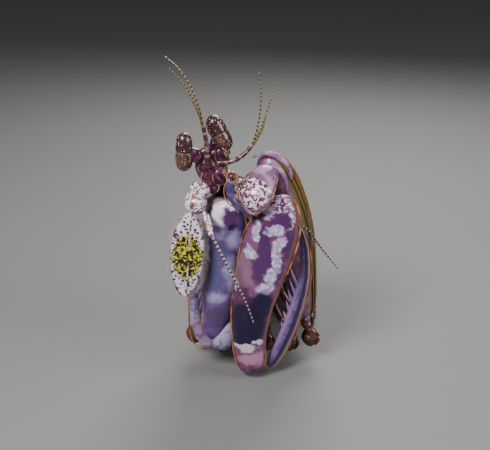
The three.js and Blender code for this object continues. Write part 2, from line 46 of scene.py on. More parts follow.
# %% [markdown]
# The animal is measured in millimetres from a point between its claws, which is easier to read
# than metres. Each piece is made at that size and place, and is scaled and moved as a last step,
# so that its object ends up at the origin with its place in its mesh.
# %% Units and places
MM = 0.001
FOOTPRINT_CENTRE = Vector((2.071, 38.938, 0.0))
RIGHTWARD = Vector((-1.0, 0.3, 0.0))
TO_LEFT = Vector((1.0, 0.0, 0.0))
TO_FRONT = Vector((0.0, -1.0, 0.2))
dice = random.Random(11)


def in_metres(place):
    return (Vector(place) - FOOTPRINT_CENTRE) * MM


# %% [markdown]
# The camera stands in front and a little above, as a diver's does. A helper turns a place in the
# picture and a depth into a place in space, so that a marking can be put where it is seen.
# %% Camera
PICTURE = (490, 450)
LENS = 70.0
SENSOR = 36.0
CAMERA_TILT = math.radians(20.0)
CAMERA_DISTANCE = 228.7
CAMERA_TARGET = Vector((0.0, -6.0, 35.5))
BACKWARD = Vector((0.0, -math.cos(CAMERA_TILT), math.sin(CAMERA_TILT)))
CAMERA_PLACE = CAMERA_TARGET + BACKWARD * CAMERA_DISTANCE
PICTURE_UP = Vector((0.0, math.sin(CAMERA_TILT), math.cos(CAMERA_TILT)))


def seen(column, row, depth):
    focal = LENS / SENSOR * PICTURE[0]
    ray = Vector((1, 0, 0)) * (column - PICTURE[0] / 2)
    ray = ray - PICTURE_UP * (row - PICTURE[1] / 2) - BACKWARD * focal
    return CAMERA_PLACE + ray * ((depth - CAMERA_PLACE.y) / ray.y)


bpy.ops.object.select_all(action="DESELECT")
bpy.ops.object.camera_add(location=in_metres(CAMERA_PLACE), rotation=(math.pi / 2 - CAMERA_TILT, 0, 0))
camera = bpy.context.object
camera.name = "camera"
camera.data.lens = LENS
camera.data.sensor_width = SENSOR
camera.data.clip_start = 0.01
bpy.context.scene.camera = camera
print("camera at", [round(c, 4) for c in camera.location])

# %% [markdown]
# Most parts of a shrimp are long shells of changing width, so one helper makes them all: a disc
# is added at the first place, and its edge is pulled out, turned and resized from place to place.
# Each point also remembers how far across, along and to the front it is, for the markings.
# %% Pulling a shell out of a disc
def only(piece):
    bpy.ops.object.select_all(action="DESELECT")
    piece.select_set(True)
    bpy.context.view_layer.objects.active = piece


def facing(forward, side):
    across = (side - forward * side.dot(forward)).normalized()
    return Matrix((across, forward.cross(across), forward)).transposed()


def columns(turn):
    return tuple(tuple(turn.col[i]) for i in range(3))


def turn_ring(old, new, centre):
    axis, angle = (new @ old.inverted()).to_quaternion().to_axis_angle()
    if angle < 1e-6:
        return
    first = axis.orthogonal().normalized()
    bpy.ops.transform.rotate(
        value=angle,
        orient_axis="Z",
        orient_type="GLOBAL",
        orient_matrix=(tuple(first), tuple(axis.cross(first)), tuple(axis)),
        orient_matrix_type="GLOBAL",
        constraint_axis=(False, False, True),
        center_override=centre,
    )


def size_ring(turn, centre, wide, high):
    bpy.ops.transform.resize(
        value=(wide, high, 1),
        orient_type="GLOBAL",
        orient_matrix=columns(turn),
        orient_matrix_type="GLOBAL",
        center_override=centre,
    )


def squash_belly(piece, turn, centre, share):
    bpy.ops.object.mode_set(mode="OBJECT")
    low = [(vertex.co - centre).dot(turn.col[1]) < -1e-4 for vertex in piece.data.vertices]
    bpy.ops.object.mode_set(mode="EDIT")
    bpy.ops.mesh.select_all(action="DESELECT")
    bpy.ops.object.mode_set(mode="OBJECT")
    piece.data.vertices.foreach_set("select", low)
    bpy.ops.object.mode_set(mode="EDIT")
    size_ring(turn, centre, 1, share)
    bpy.ops.mesh.select_all(action="SELECT")


# %% [markdown]
# The disc grows into a shell ring by ring, and the shell is rounded at the end.
# %% From disc to shell
def pull_shell(name, rings, sides=16, belly=1.0, smooth=1):
    centre, turn, wide, high = rings[0]
    bpy.ops.object.select_all(action="DESELECT")
    bpy.ops.mesh.primitive_circle_add(vertices=sides, radius=1, fill_type="NGON", location=centre)
    piece = bpy.context.object
    piece.name = name
    piece.data.name = name
    bpy.ops.object.transform_apply(location=True, rotation=True, scale=True)
    bpy.ops.object.mode_set(mode="EDIT")
    bpy.ops.mesh.select_all(action="SELECT")
    turn_ring(Matrix.Identity(3), turn, centre)
    if belly != 1.0:
        squash_belly(piece, turn, centre, belly)
    size_ring(turn, centre, wide, high)
    for (was, old, w, h), (now, new, w2, h2) in zip(rings, rings[1:]):
        bpy.ops.mesh.extrude_region_move(TRANSFORM_OT_translate={"value": now - was})
        turn_ring(old, new, now)
        size_ring(new, now, w2 / w, h2 / h)
    bpy.ops.mesh.select_all(action="SELECT")
    bpy.ops.mesh.normals_make_consistent(inside=False)
    bpy.ops.object.mode_set(mode="OBJECT")
    remember_places(piece, rings, sides)
    if smooth:
        rounded(piece, smooth)
    return piece


def remember_places(piece, rings, sides):
    place = piece.data.attributes.new("place", "FLOAT_VECTOR", "POINT")
    last = len(rings) - 1
    for vertex in piece.data.vertices:
        step = min(vertex.index // sides, last)
        centre, turn, wide, high = rings[step]
        away = vertex.co - centre
        across, front = away.dot(turn.col[0]) / wide, away.dot(turn.col[1]) / high
        place.data[vertex.index].vector = (across, step / last, front)


def rounded(piece, levels):
    only(piece)
    subdivide = piece.modifiers.new("round", "SUBSURF")
    subdivide.levels = levels
    subdivide.render_levels = levels
    bpy.ops.object.modifier_apply(modifier="round")


# %% [markdown]
# A path is a few chosen points with a smooth line through them, and a profile says how wide and
# how high the shell is at each share of that line.
# %% Paths and profiles
def on_curve(points, share):
    spans = [(b - a).length for a, b in zip(points, points[1:])]
    left = share * sum(spans)
    i = 0
    while i < len(spans) - 1 and left > spans[i]:
        left -= spans[i]
        i += 1
    t = left / spans[i]
    before = points[i - 1] if i else points[0] * 2 - points[1]
    after = points[i + 2] if i + 2 < len(points) else points[-1] * 2 - points[-2]
    a, b = points[i], points[i + 1]
    out = (b - before) * (spans[i] / (b - before).length)
    into = (after - a) * (spans[i] / (after - a).length)
    place = a * (2 * t**3 - 3 * t**2 + 1) + out * (t**3 - 2 * t**2 + t)
    place += b * (3 * t**2 - 2 * t**3) + into * (t**3 - t**2)
    slope = (a - b) * (6 * t**2 - 6 * t) + out * (3 * t**2 - 4 * t + 1) + into * (3 * t**2 - 2 * t)
    return place, slope.normalized()


def rings_on(points, profile, side=TO_LEFT, bulk=1.0):
    points = [Vector(point) for point in points]
    rings = []
    for share, wide, high in profile:
        centre, forward = on_curve(points, share)
        rings.append((centre, facing(forward, side), wide * bulk, high * bulk))
    return rings


def limb(name, points, profile, side=TO_LEFT, sides=12, smooth=1, bulk=1.0):
    return pull_shell(name, rings_on(points, profile, side, bulk), sides, smooth=smooth)


def whip(name, points, root, tip, steps, sides=8):
    shares = [i / steps for i in range(steps + 1)]
    radii = [root + (tip - root) * share**1.4 for share in shares]
    return limb(name, points, list(zip(shares, radii, radii)), RIGHTWARD, sides, smooth=0)


# %% [markdown]
# A rim or a ridge is a fine bead that runs along a plate. It is a curve with a round section,
# turned into a mesh, and thinner at its ends.
# %% Beads for rims and ridges
def bead(name, points, radius, steps=24, sides=8):
    profile = [(0, 0.3, 0.3), (0.5 / steps, 0.7, 0.7)]
    profile += [(i / steps, 1, 1) for i in range(1, steps)]
    profile += [(1 - 0.5 / steps, 0.7, 0.7), (1, 0.3, 0.3)]
    return limb(name, points, profile, RIGHTWARD, sides, smooth=0, bulk=radius)


def spike(name, root, way, length, radius, curl=(0, 0, 0), sides=8):
    root = Vector(root)
    way = Vector(way).normalized()
    middle = root + way * length * 0.55 + Vector(curl) * length * 0.12
    tip = root + way * length
    profile = [(0, 1, 1), (0.3, 0.86, 0.86), (0.6, 0.55, 0.55), (0.85, 0.26, 0.26), (1, 0.06, 0.06)]
    line = [root - way * radius, middle, tip]
    return limb(name, line, profile, RIGHTWARD, sides, smooth=0, bulk=radius)


def joined(name, pieces):
    bpy.ops.object.select_all(action="DESELECT")
    for piece in pieces:
        piece.select_set(True)
    bpy.context.view_layer.objects.active = pieces[0]
    bpy.ops.object.join()
    pieces[0].name = name
    pieces[0].data.name = name
    return pieces[0]


# %% [markdown]
# Settling a piece is the last step of each: shrink it from millimetres to metres, move it into
# the frame under its root, shade it smooth, give it its finish, and hide the model parts it stands for.
# %% Settling a piece
SMOOTH_ANGLE = math.radians(50)


def settle(piece, finish, nodes=()):
    only(piece)
    piece.scale = (MM, MM, MM)
    piece.location = in_metres((0, 0, 0))
    bpy.ops.object.transform_apply(location=True, rotation=True, scale=True)
    bpy.ops.object.shade_smooth_by_angle(angle=SMOOTH_ANGLE)
    piece.data.materials.clear()
    piece.data.materials.append(finish.material)
    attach(piece, "root")
    if nodes:
        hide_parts(*nodes)

# %% [markdown]
# Shader sums read best as sums. A small wrapper round a socket lets a mask be written as
# 1 - spots * edge, and each step adds its own Math node. Every other node comes from one method.
# %% A finish and its wires
COAT_ROUGHNESS = 0.1
SPECULAR = 0.35
NOISE_ROUGHNESS = 0.55
BUMP_STRENGTH = 0.6
HORN_COAT = 0.22


class Wire:
    def __init__(self, finish, socket):
        self.finish = finish
        self.socket = socket

    def math(self, operation, first, second=0.0):
        return self.finish.node("ShaderNodeMath", {0: first, 1: second}, operation=operation)

    def __add__(self, other):
        return self.math("ADD", self, other)

    __radd__ = __add__

    def __sub__(self, other):
        return self.math("SUBTRACT", self, other)

    def __rsub__(self, other):
        return self.math("SUBTRACT", other, self)

    def __mul__(self, other):
        return self.math("MULTIPLY", self, other)

    __rmul__ = __mul__

    def __abs__(self):
        return self.math("ABSOLUTE", self)

    def larger(self, other):
        return self.math("MAXIMUM", self, other)

    def wave(self):
        return self.math("SINE", self)

    def root(self):
        return self.math("SQRT", self)

    def step(self, low, high):
        ends = {0: self, 1: low, 2: high, 3: 0.0, 4: 1.0}
        return self.finish.node("ShaderNodeMapRange", ends, interpolation_type="SMOOTHSTEP")


# %% [markdown]
# A finish is a material and its helpers. Its places are in millimetres, as the shapes are.
# %% A finish
class Finish:
    def __init__(self, name, roughness=0.35, coat=0.2):
        self.material = bpy.data.materials.new(name)
        self.material.use_nodes = True
        self.tree = self.material.node_tree
        self.shader = self.tree.nodes["Principled BSDF"]
        self.shader.inputs["Roughness"].default_value = roughness
        self.shader.inputs["Coat Weight"].default_value = coat
        self.shader.inputs["Coat Roughness"].default_value = COAT_ROUGHNESS
        self.shader.inputs["Specular IOR Level"].default_value = SPECULAR
        metres = self.node("ShaderNodeTexCoord", output="Object")
        self.place = self.vector_math("MULTIPLY_ADD", metres, (1 / MM,) * 3, tuple(FOOTPRINT_CENTRE))

    def node(self, kind, values=None, output=0, **settings):
        node = self.tree.nodes.new(kind)
        for key, value in settings.items():
            setattr(node, key, value)
        for key, value in (values or {}).items():
            if isinstance(value, Wire):
                self.tree.links.new(value.socket, node.inputs[key])
            else:
                node.inputs[key].default_value = value
        return Wire(self, node.outputs[output])

    def vector_math(self, operation, *inputs, output=0):
        return self.node("ShaderNodeVectorMath", dict(enumerate(inputs)), output, operation=operation)

    def own(self, axis):
        stored = self.node("ShaderNodeAttribute", output="Vector", attribute_name="place")
        return self.node("ShaderNodeSeparateXYZ", {0: stored}, output=axis)

    def noise(self, size, detail=3.0, warp=0.0, where=None):
        values = {"Vector": where or self.place, "Scale": 1 / size, "Detail": detail}
        values.update({"Roughness": NOISE_ROUGHNESS, "Distortion": warp})
        return self.node("ShaderNodeTexNoise", values)

    def cells(self, size, scatter=1.0, where=None):
        values = {"Vector": where or self.place, "Scale": 1 / size, "Randomness": scatter}
        return self.node("ShaderNodeTexVoronoi", values, output="Distance")

    def warped(self, size, amount, where=None):
        start = where or self.place
        values = {"Vector": start, "Scale": 1 / size, "Detail": 2.0}
        colour = self.node("ShaderNodeTexNoise", values, output="Color")
        push = self.vector_math("SUBTRACT", colour, (0.5, 0.5, 0.5))
        return self.vector_math("MULTIPLY_ADD", push, (amount,) * 3, start)

    def stretched(self, share):
        return self.vector_math("MULTIPLY", self.place, (1.0, 1.0, share))

    def patch(self, centre, reach, where, soft):
        away = self.vector_math("SUBTRACT", where, tuple(centre))
        shares = self.vector_math("DIVIDE", away, reach)
        length = self.vector_math("LENGTH", shares, output="Value")
        return 1 - length.step(1 - soft, 1 + soft)

    def mix(self, mask, under, over):
        values = {0: mask, 6: self.solid(under), 7: self.solid(over)}
        return self.node("ShaderNodeMix", values, output=2, data_type="RGBA")

    def solid(self, colour):
        return colour if isinstance(colour, Wire) else (*colour, 1.0)

    def colour(self, wire):
        self.tree.links.new(wire.socket, self.shader.inputs["Base Color"])
        return self

    def rough(self, wire):
        self.tree.links.new(wire.socket, self.shader.inputs["Roughness"])
        return self

    def bump(self, height, depth):
        values = {"Strength": BUMP_STRENGTH, "Distance": depth * MM, "Height": height}
        normal = self.node("ShaderNodeBump", values)
        self.tree.links.new(normal.socket, self.shader.inputs["Normal"])
        return self


def two_tone(name, roughness, coat, size, span, under, over):
    finish = Finish(name, roughness, coat)
    return finish.colour(finish.mix(finish.noise(size, 2).step(*span), under, over))


# %% [markdown]
# The colours are those of a purple and cream spearer: wine red, indigo, lavender and white, with
# golden rims. Each is named once, in the linear values that Blender mixes.
# %% Colours
WHITE = (0.70, 0.62, 0.72)
CREAM = (0.50, 0.40, 0.36)
LAVENDER = (0.24, 0.18, 0.38)
BLUE_GREY = (0.07, 0.065, 0.16)
WINE = (0.085, 0.012, 0.035)
PURPLE = (0.055, 0.014, 0.075)
INDIGO = (0.008, 0.004, 0.028)
NEAR_BLACK = (0.006, 0.003, 0.008)
BROWN = (0.11, 0.035, 0.022)
GOLD = (0.48, 0.19, 0.04)
OLIVE = (0.14, 0.10, 0.03)
YELLOW = (0.50, 0.42, 0.02)
PINK = (0.36, 0.16, 0.27)

# %% [markdown]
# The back plates are brown and wine red, clouded with cream, and darker towards the rear edge
# of each plate. The clouds are two sizes of noise laid over one another.
# %% Back plate finish
def clouded_shell(name, ground, cloud, dark, fleck):
    finish = Finish(name, roughness=0.32, coat=0.35)
    bent = finish.warped(6, 3.0)
    broad = finish.noise(7.0, 4, where=bent).step(0.46, 0.58)
    fine = finish.noise(1.6, 3, where=bent).step(0.50, 0.60)
    flecks = 1 - finish.cells(1.1).step(0.16, 0.26)
    along = finish.own(1)
    base = finish.mix(broad, ground, cloud)
    base = finish.mix(fine * 0.6, base, dark)
    base = finish.mix(flecks * 0.7, base, fleck)
    base = finish.mix((1 - along.step(0.0, 0.25)) * 0.6, base, fleck)
    base = finish.mix(along.step(0.80, 0.97) * 0.75, base, dark)
    finish.colour(base)
    finish.rough(0.26 + 0.2 * finish.noise(2.0))
    finish.bump(finish.noise(0.9, 4) + 0.4 * flecks, 0.12)
    return finish


shell_finish = clouded_shell("clouded back shell", BROWN, (0.32, 0.21, 0.17), WINE, NEAR_BLACK)
print("finish:", shell_finish.material.name)

# %% [markdown]
# Soft skin shows only about the head and between the plates. It is dark wine red with a faint
# marbling and a wet shine.
# %% Skin finish
skin_finish = Finish("dark wet skin", roughness=0.3, coat=HORN_COAT)
marbling = skin_finish.noise(1.3, 4, where=skin_finish.warped(2.5, 1.5)).step(0.42, 0.62)
skin_colour = skin_finish.mix(marbling, (0.018, 0.003, 0.010), (0.085, 0.014, 0.042))
paler = skin_finish.noise(0.7, 2).step(0.62, 0.72)
skin_finish.colour(skin_finish.mix(paler * 0.4, skin_colour, LAVENDER))
skin_finish.bump(skin_finish.noise(0.8, 4), 0.15)

GOLD_BROWNS = ((0.32, 0.15, 0.06), (0.12, 0.04, 0.03))
rim_finish = two_tone("golden rim", 0.3, HORN_COAT, 2.2, (0.4, 0.62), *GOLD_BROWNS)

# %% [markdown]
# Each eye is chocolate brown, covered in rows of white dots, with a pale double line round its
# waist where the bands of special facets lie, and fine golden lines on part of the lower lobe.
# %% Eye finish
def eye_colours(name):
    finish = Finish(name, roughness=0.2, coat=0.3)
    along = finish.own(1)
    across = finish.own(0)
    dots = 1 - finish.cells(0.62, scatter=0.4).step(0.17, 0.27)
    specks = 1 - finish.cells(0.36, scatter=0.9).step(0.14, 0.24)
    waist = abs(along - 0.5)
    pale_lines = (1 - abs(waist - 0.018).step(0.004, 0.012)) * (0.55 + finish.noise(0.5, 2) * 0.6)
    lobe = 1 - along.step(0.44, 0.48)
    lines = ((along * 190).wave() * 0.5 + 0.5).step(0.45, 0.75)
    patch = lobe * (1 - abs(across * 0.9 + 0.25).step(0.45, 0.7)) * (1 - waist.step(0.28, 0.36))
    base = finish.mix(finish.noise(0.6, 3).step(0.35, 0.65), (0.022, 0.008, 0.010), (0.05, 0.02, 0.018))
    base = finish.mix(patch, base, finish.mix(lines, (0.035, 0.014, 0.012), (0.12, 0.055, 0.03)))
    base = finish.mix(specks * 0.35, base, CREAM)
    base = finish.mix(dots * (1 - patch * 0.6), base, (0.62, 0.52, 0.46))
    base = finish.mix(pale_lines * 0.7, base, (0.40, 0.31, 0.25))
    finish.colour(base)
    finish.bump(dots + 0.5 * specks, 0.05)
    return finish


eye_finishes = {side: eye_colours(f"{side} eye facets") for side in ("left", "right")}

# %% [markdown]
# The feelers are ringed: dark brown and straw yellow bars follow one another along each whip.
# The bars follow the length of the piece, which each point remembers.
# %% Ringed finish
def ringed(name, bars, dark, pale, share=0.5, blotch=0.0):
    finish = Finish(name, roughness=0.35, coat=0.3)
    uneven = finish.noise(2.5, 2) * 1.6
    ring = ((finish.own(1) * bars + uneven).wave() * 0.5 + 0.5).step(share - 0.12, share + 0.12)
    base = finish.mix(ring, dark, pale)
    if blotch:
        spots = 1 - finish.cells(1.0).step(0.22, 0.34)
        base = finish.mix(spots * blotch, base, WINE)
    finish.colour(base)
    finish.bump(ring, 0.05)
    return finish


whip_finish = ringed("ringed whip", 110, (0.02, 0.01, 0.006), (0.26, 0.17, 0.045))
banded_finish = ringed("banded antenna whip", 150, (0.035, 0.012, 0.014), (0.30, 0.24, 0.25))
stalk_finish = ringed("barred antennule stalk", 34, (0.035, 0.010, 0.018), (0.16, 0.09, 0.08), 0.6, 0.8)

# %% [markdown]
# The body is a row of horny rings. The line below is its axis, from between the eyes down to the
# floor and back along it, and each ring starts a known way along that line.
# %% The line of the body
BODY_LINE = [
    Vector(point)
    for point in [
        (-7.4, -9, 53), (-6, -4.4, 46.6), (-1.6, 0.6, 39), (3, 4.5, 27.5), (4, 8.5, 19),
        (4.2, 14.5, 12.8), (4.2, 22, 9.8), (4, 30, 9), (3.4, 46, 8.6), (2.6, 61, 8.2), (1.6, 76, 7.4),
        (0.6, 86, 6),
    ]
]
BODY_LENGTH = 121.35
THORAX_STARTS = [33.4, 39.4, 45.6, 52, 58.4]
ABDOMEN_STARTS = [58.4, 68.6, 78.8, 88.8, 98.8, 108.6, 118]


def body_rings(start, end, wide, high, profile):
    rings = []
    for share, w, h in profile:
        centre, forward = on_curve(BODY_LINE, (start + (end - start) * share) / BODY_LENGTH)
        rings.append((centre, facing(forward, RIGHTWARD), wide * w, high * h))
    return rings


# %% [markdown]
# One back ring: it starts narrow under the ring before it, swells, and ends in a thick rear lip
# that turns in. The belly half of the section is pressed flat, and the side plates hang below it.
# %% Back rings
RING_PROFILE = [
    (0.0, 0.86, 0.84), (0.01, 0.90, 0.89), (0.05, 0.925, 0.92), (0.16, 0.95, 0.94),
    (0.26, 0.985, 0.985), (0.5, 1.0, 1.0), (0.84, 1.02, 1.02), (0.92, 1.045, 1.045),
    (0.975, 1.045, 1.045), (1.0, 1.02, 1.015), (0.985, 0.95, 0.94), (0.965, 0.9, 0.88),
]
BELLY = 0.42
RING_TUCK = 0.16


def ring_ridges(name, rings, offsets):
    ridges = []
    for offset in offsets:
        line = []
        for centre, turn, wide, high in rings[3:9]:
            x = offset * wide
            y = high * math.sqrt(1 - offset**2) * 0.985
            line.append(centre + turn.col[0] * x + turn.col[1] * y)
        ridges.append(bead(name + "_ridge", line, 0.24, steps=8, sides=6))
    return ridges


def back_ring(name, start, end, wide, high, ridges):
    rings = body_rings(start - RING_TUCK, end - RING_TUCK, wide, high, RING_PROFILE)
    shell = pull_shell(name, rings, sides=32, belly=BELLY)
    extras = ring_ridges(name, rings, ridges)
    for side in (-1, 1):
        line = []
        for centre, turn, half, tall in rings[2:10]:
            line.append(centre + turn.col[0] * half * 0.97 * side - turn.col[1] * tall * 0.22)
        extras.append(bead(name + "_edge", line, 0.85, steps=10, sides=8))
    whole = joined(name, [shell, *extras])
    settle(whole, shell_finish, [name])


THORAX_WIDTH, THORAX_WIDENING = 9.8, 0.65
THORAX_HEIGHT, THORAX_LOWERING = 6.9, 0.1
THORAX_RIDGES = [-0.5, 0.5]
for i in range(4):
    start, end = THORAX_STARTS[i], THORAX_STARTS[i + 1]
    wide, high = THORAX_WIDTH + THORAX_WIDENING * i, THORAX_HEIGHT - THORAX_LOWERING * i
    back_ring(f"thorax_{i + 5}", start, end, wide, high, THORAX_RIDGES)

ABDOMEN_WIDTH, ABDOMEN_HEIGHT = 12.2, 6.4
ABDOMEN_TAPER = [0.98, 1, 1, 1, 0.97, 0.9]
ABDOMEN_RIDGES = [-0.82, -0.6, -0.36, 0.36, 0.6, 0.82]
for i, taper in enumerate(ABDOMEN_TAPER):
    start, end = ABDOMEN_STARTS[i], ABDOMEN_STARTS[i + 1]
    wide, high = ABDOMEN_WIDTH * taper, ABDOMEN_HEIGHT * taper
    back_ring(f"abdomen_{i + 1}", start, end, wide, high, ABDOMEN_RIDGES)
print("back rings made")

# %% [markdown]
# Under the shield a column of soft flesh joins the rings to the head.
# %% Trunk
TRUNK_START, TRUNK_END = 7, 33.2
TRUNK_WIDTH, TRUNK_HEIGHT = 7.2, 5.6
TRUNK_PROFILE = [
    (0, 0.4, 0.5), (0.05, 0.5, 0.62), (0.2, 0.62, 0.75), (0.5, 0.9, 0.92), (0.8, 1.08, 1),
    (1, 1.1, 1),
]
trunk_rings = body_rings(TRUNK_START, TRUNK_END, TRUNK_WIDTH, TRUNK_HEIGHT, TRUNK_PROFILE)
trunk = pull_shell("trunk", trunk_rings, sides=20)
settle(trunk, skin_finish, ["trunk"])

# %% [markdown]
# The shield is a saddle of shell, open below. A full tube is pulled out first, then its belly
# faces are deleted and the rest is given its thickness.
# %% Carapace shield
SHIELD_PROFILE = [
    (0, 0.5, 0.5), (0.06, 0.6, 0.62), (0.3, 0.84, 0.88), (0.6, 1, 1), (0.85, 1.08, 1.02),
    (0.96, 1.1, 1.02), (1, 1.08, 0.99),
]
SHIELD_WALL = 0.55
SHIELD_START, SHIELD_END = 13, 33
SHIELD_WIDTH, SHIELD_HEIGHT = 10.0, 8.4
OPEN_BELOW = -0.36
shield_rings = body_rings(SHIELD_START, SHIELD_END, SHIELD_WIDTH, SHIELD_HEIGHT, SHIELD_PROFILE)
shield = pull_shell("carapace", shield_rings, sides=32, smooth=0)
opened = []
for face in shield.data.polygons:
    ring = min(shield_rings, key=lambda r: (r[0] - face.center).length)
    height = (face.center - ring[0]).dot(ring[1].col[1]) / ring[3]
    is_end = abs(face.normal.dot(ring[1].col[2])) > 0.9 and len(face.vertices) > 4
    opened.append(height < OPEN_BELOW or is_end)
only(shield)
bpy.ops.object.mode_set(mode="EDIT")
bpy.ops.mesh.select_all(action="DESELECT")
bpy.ops.object.mode_set(mode="OBJECT")
shield.data.polygons.foreach_set("select", opened)
bpy.ops.object.mode_set(mode="EDIT")
bpy.ops.mesh.delete(type="FACE")
bpy.ops.object.mode_set(mode="OBJECT")
rounded(shield, 1)
wall = shield.modifiers.new("wall", "SOLIDIFY")
wall.thickness = SHIELD_WALL
wall.offset = -1
bpy.ops.object.modifier_apply(modifier="wall")


def along_shield(rings, across, up):
    line = []
    for centre, turn, wide, high in rings:
        line.append(centre + turn.col[0] * wide * across + turn.col[1] * high * up)
    return line


beads = []
for side in (-1, 1):
    keel = along_shield(shield_rings[1:-1], 0.55 * side, 0.84)
    beads.append(bead("shield_keel", keel, 0.3, steps=14, sides=6))
    rim = along_shield(shield_rings, 0.93 * side, -0.34)
    beads.append(bead("shield_rim", rim, 0.42, steps=18, sides=8))
shield = joined("carapace", [shield, *beads])
settle(shield, shell_finish, ["carapace"])
print("shield made")

# %% [markdown]
# The claws carry the boldest colours. Their patches don't repeat, so each is put down one by one
# where it is seen, as a painter would, with its edge broken up by noise.
# %% Claw finishes
PIXEL = 0.24
CLAW_FRONT = -19.0
PATCH_DEPTH = 7.0
SOFT = 0.3


def blots(finish, where, spots, soft):
    whole = None
    for column, row, wide, tall in spots:
        centre = seen(column, row, CLAW_FRONT)
        one = finish.patch(centre, (wide * PIXEL, PATCH_DEPTH, tall * PIXEL), where, soft)
        whole = one if whole is None else whole.larger(one)
    return whole


def gilded_edges(finish, base, start, gold=GOLD, side=0):
    across = finish.own(0)
    edge = abs(across) if side == 0 else across * side
    return finish.mix(edge.step(start, start + 0.06), base, gold)


def mottled(finish, ground, dark, where):
    clouds = finish.noise(3.4, 3, where=where).step(0.42, 0.6)
    grain = finish.noise(0.5, 3)
    base = finish.mix(clouds, ground, dark)
    return finish.mix(grain.step(0.55, 0.75) * 0.35, base, LAVENDER)


def painted(finish, base, where, layers):
    for colour, strength, soft, spots in layers:
        base = finish.mix(blots(finish, where, spots, soft) * strength, base, colour)
    return base


# %% [markdown]
# Each patch is a column, a row, a half width and a half height in the picture.
# %% Where the patches lie
LEFT_SPOTS = {
    "blush": [(246, 268, 13, 17)],
    "freckled": [(289, 206, 14, 24), (263, 209, 15, 9)],
    "dark": [(265, 246, 9, 22), (258, 268, 9, 18), (282, 222, 9, 9), (288, 240, 5, 12)],
    "pale": [
        (257, 232, 5, 8), (250, 253, 5, 6), (268, 211, 6, 4), (276, 229, 7, 5), (280, 244, 4, 9),
        (275, 260, 5, 11), (270, 275, 7, 9), (263, 288, 8, 5), (238, 270, 3, 5), (236, 286, 3, 6),
    ],
    "indigo": [(248, 322, 20, 26), (262, 305, 12, 16), (243, 333, 15, 15)],
    "grey tip": [(245, 347, 13, 3), (259, 342, 7, 2.5)],
    "pink tip": [(253, 359, 16, 9)],
}
RIGHT_SPOTS = {
    "blue": [(213, 280, 9, 24), (226, 262, 7, 12)],
    "lavender": [(234, 246, 8, 9), (230, 282, 6, 20), (214, 304, 15, 7), (222, 243, 6, 6)],
    "pale edge": [(208, 258, 3, 14)],
    "white": [(224, 206, 10, 9), (218, 221, 6, 13), (236, 211, 8, 5)],
    "purple": [(229, 224, 9, 9), (238, 219, 8, 6)],
    "indigo": [(245, 219, 4, 5), (232, 232, 4, 5)],
    "dark tip": [(212, 322, 12, 10)],
}


# %% [markdown]
# The left hand is plum with white freckles above and an indigo end. The right one is bluer.
# %% Hand finishes
def left_hand_colours():
    finish = Finish("left hand shell", roughness=0.24, coat=HORN_COAT)
    bent = finish.warped(3.0, 4.4, finish.warped(0.9, 0.9))
    freckles = finish.noise(0.75, 2, where=finish.warped(1.0, 1.0), warp=0.6).step(0.50, 0.56)
    chalk = finish.noise(1.0, 3).step(0.44, 0.62)
    streaks = finish.noise(0.4, 3, where=finish.stretched(0.2)).step(0.5, 0.75)
    base = mottled(finish, (0.15, 0.05, 0.11), (0.075, 0.018, 0.065), bent)
    base = painted(finish, base, bent, [
        ((0.20, 0.10, 0.15), 0.7, SOFT, LEFT_SPOTS["blush"]),
        ((0.52, 0.40, 0.52), freckles, SOFT, LEFT_SPOTS["freckled"]),
        (PURPLE, 1, SOFT, LEFT_SPOTS["dark"]),
        ((0.30, 0.23, 0.38), 1, 0.35, LEFT_SPOTS["pale"]),
        ((0.56, 0.50, 0.66), chalk * 0.8, 0.2, LEFT_SPOTS["pale"]),
    ])
    base = finish.mix(streaks * 0.3, base, (0.10, 0.045, 0.12))
    base = painted(finish, base, finish.warped(3, 1.6), [(INDIGO, 1, SOFT, LEFT_SPOTS["indigo"])])
    base = painted(finish, base, bent, [
        ((0.50, 0.40, 0.50), 1, SOFT, LEFT_SPOTS["grey tip"]),
        (PINK, 1, SOFT, LEFT_SPOTS["pink tip"]),
    ])
    base = gilded_edges(finish, base, 0.84, (0.16, 0.06, 0.07), 1)
    finish.colour(gilded_edges(finish, base, 0.955))
    finish.bump(finish.noise(0.7, 4) + 0.5 * finish.noise(0.2, 2), 0.08)
    return finish


def right_hand_colours():
    finish = Finish("right hand shell", roughness=0.24, coat=HORN_COAT)
    bent = finish.warped(3.0, 4.0, finish.warped(0.9, 0.8))
    base = mottled(finish, (0.10, 0.05, 0.16), (0.06, 0.03, 0.12), bent)
    base = painted(finish, base, bent, [
        (BLUE_GREY, 1, SOFT, RIGHT_SPOTS["blue"]),
        ((0.27, 0.22, 0.42), 1, 0.5, RIGHT_SPOTS["lavender"]),
        ((0.40, 0.34, 0.48), 0.8, SOFT, RIGHT_SPOTS["pale edge"]),
        (WHITE, 1, SOFT, RIGHT_SPOTS["white"]),
        (PURPLE, 1, SOFT, RIGHT_SPOTS["purple"]),
        (INDIGO, 1, SOFT, RIGHT_SPOTS["indigo"]),
        ((0.06, 0.035, 0.09), 1, SOFT, RIGHT_SPOTS["dark tip"]),
    ])
    finish.colour(gilded_edges(finish, base, 0.93, (0.30, 0.22, 0.20)))
    finish.bump(finish.noise(0.7, 4), 0.08)
    return finish


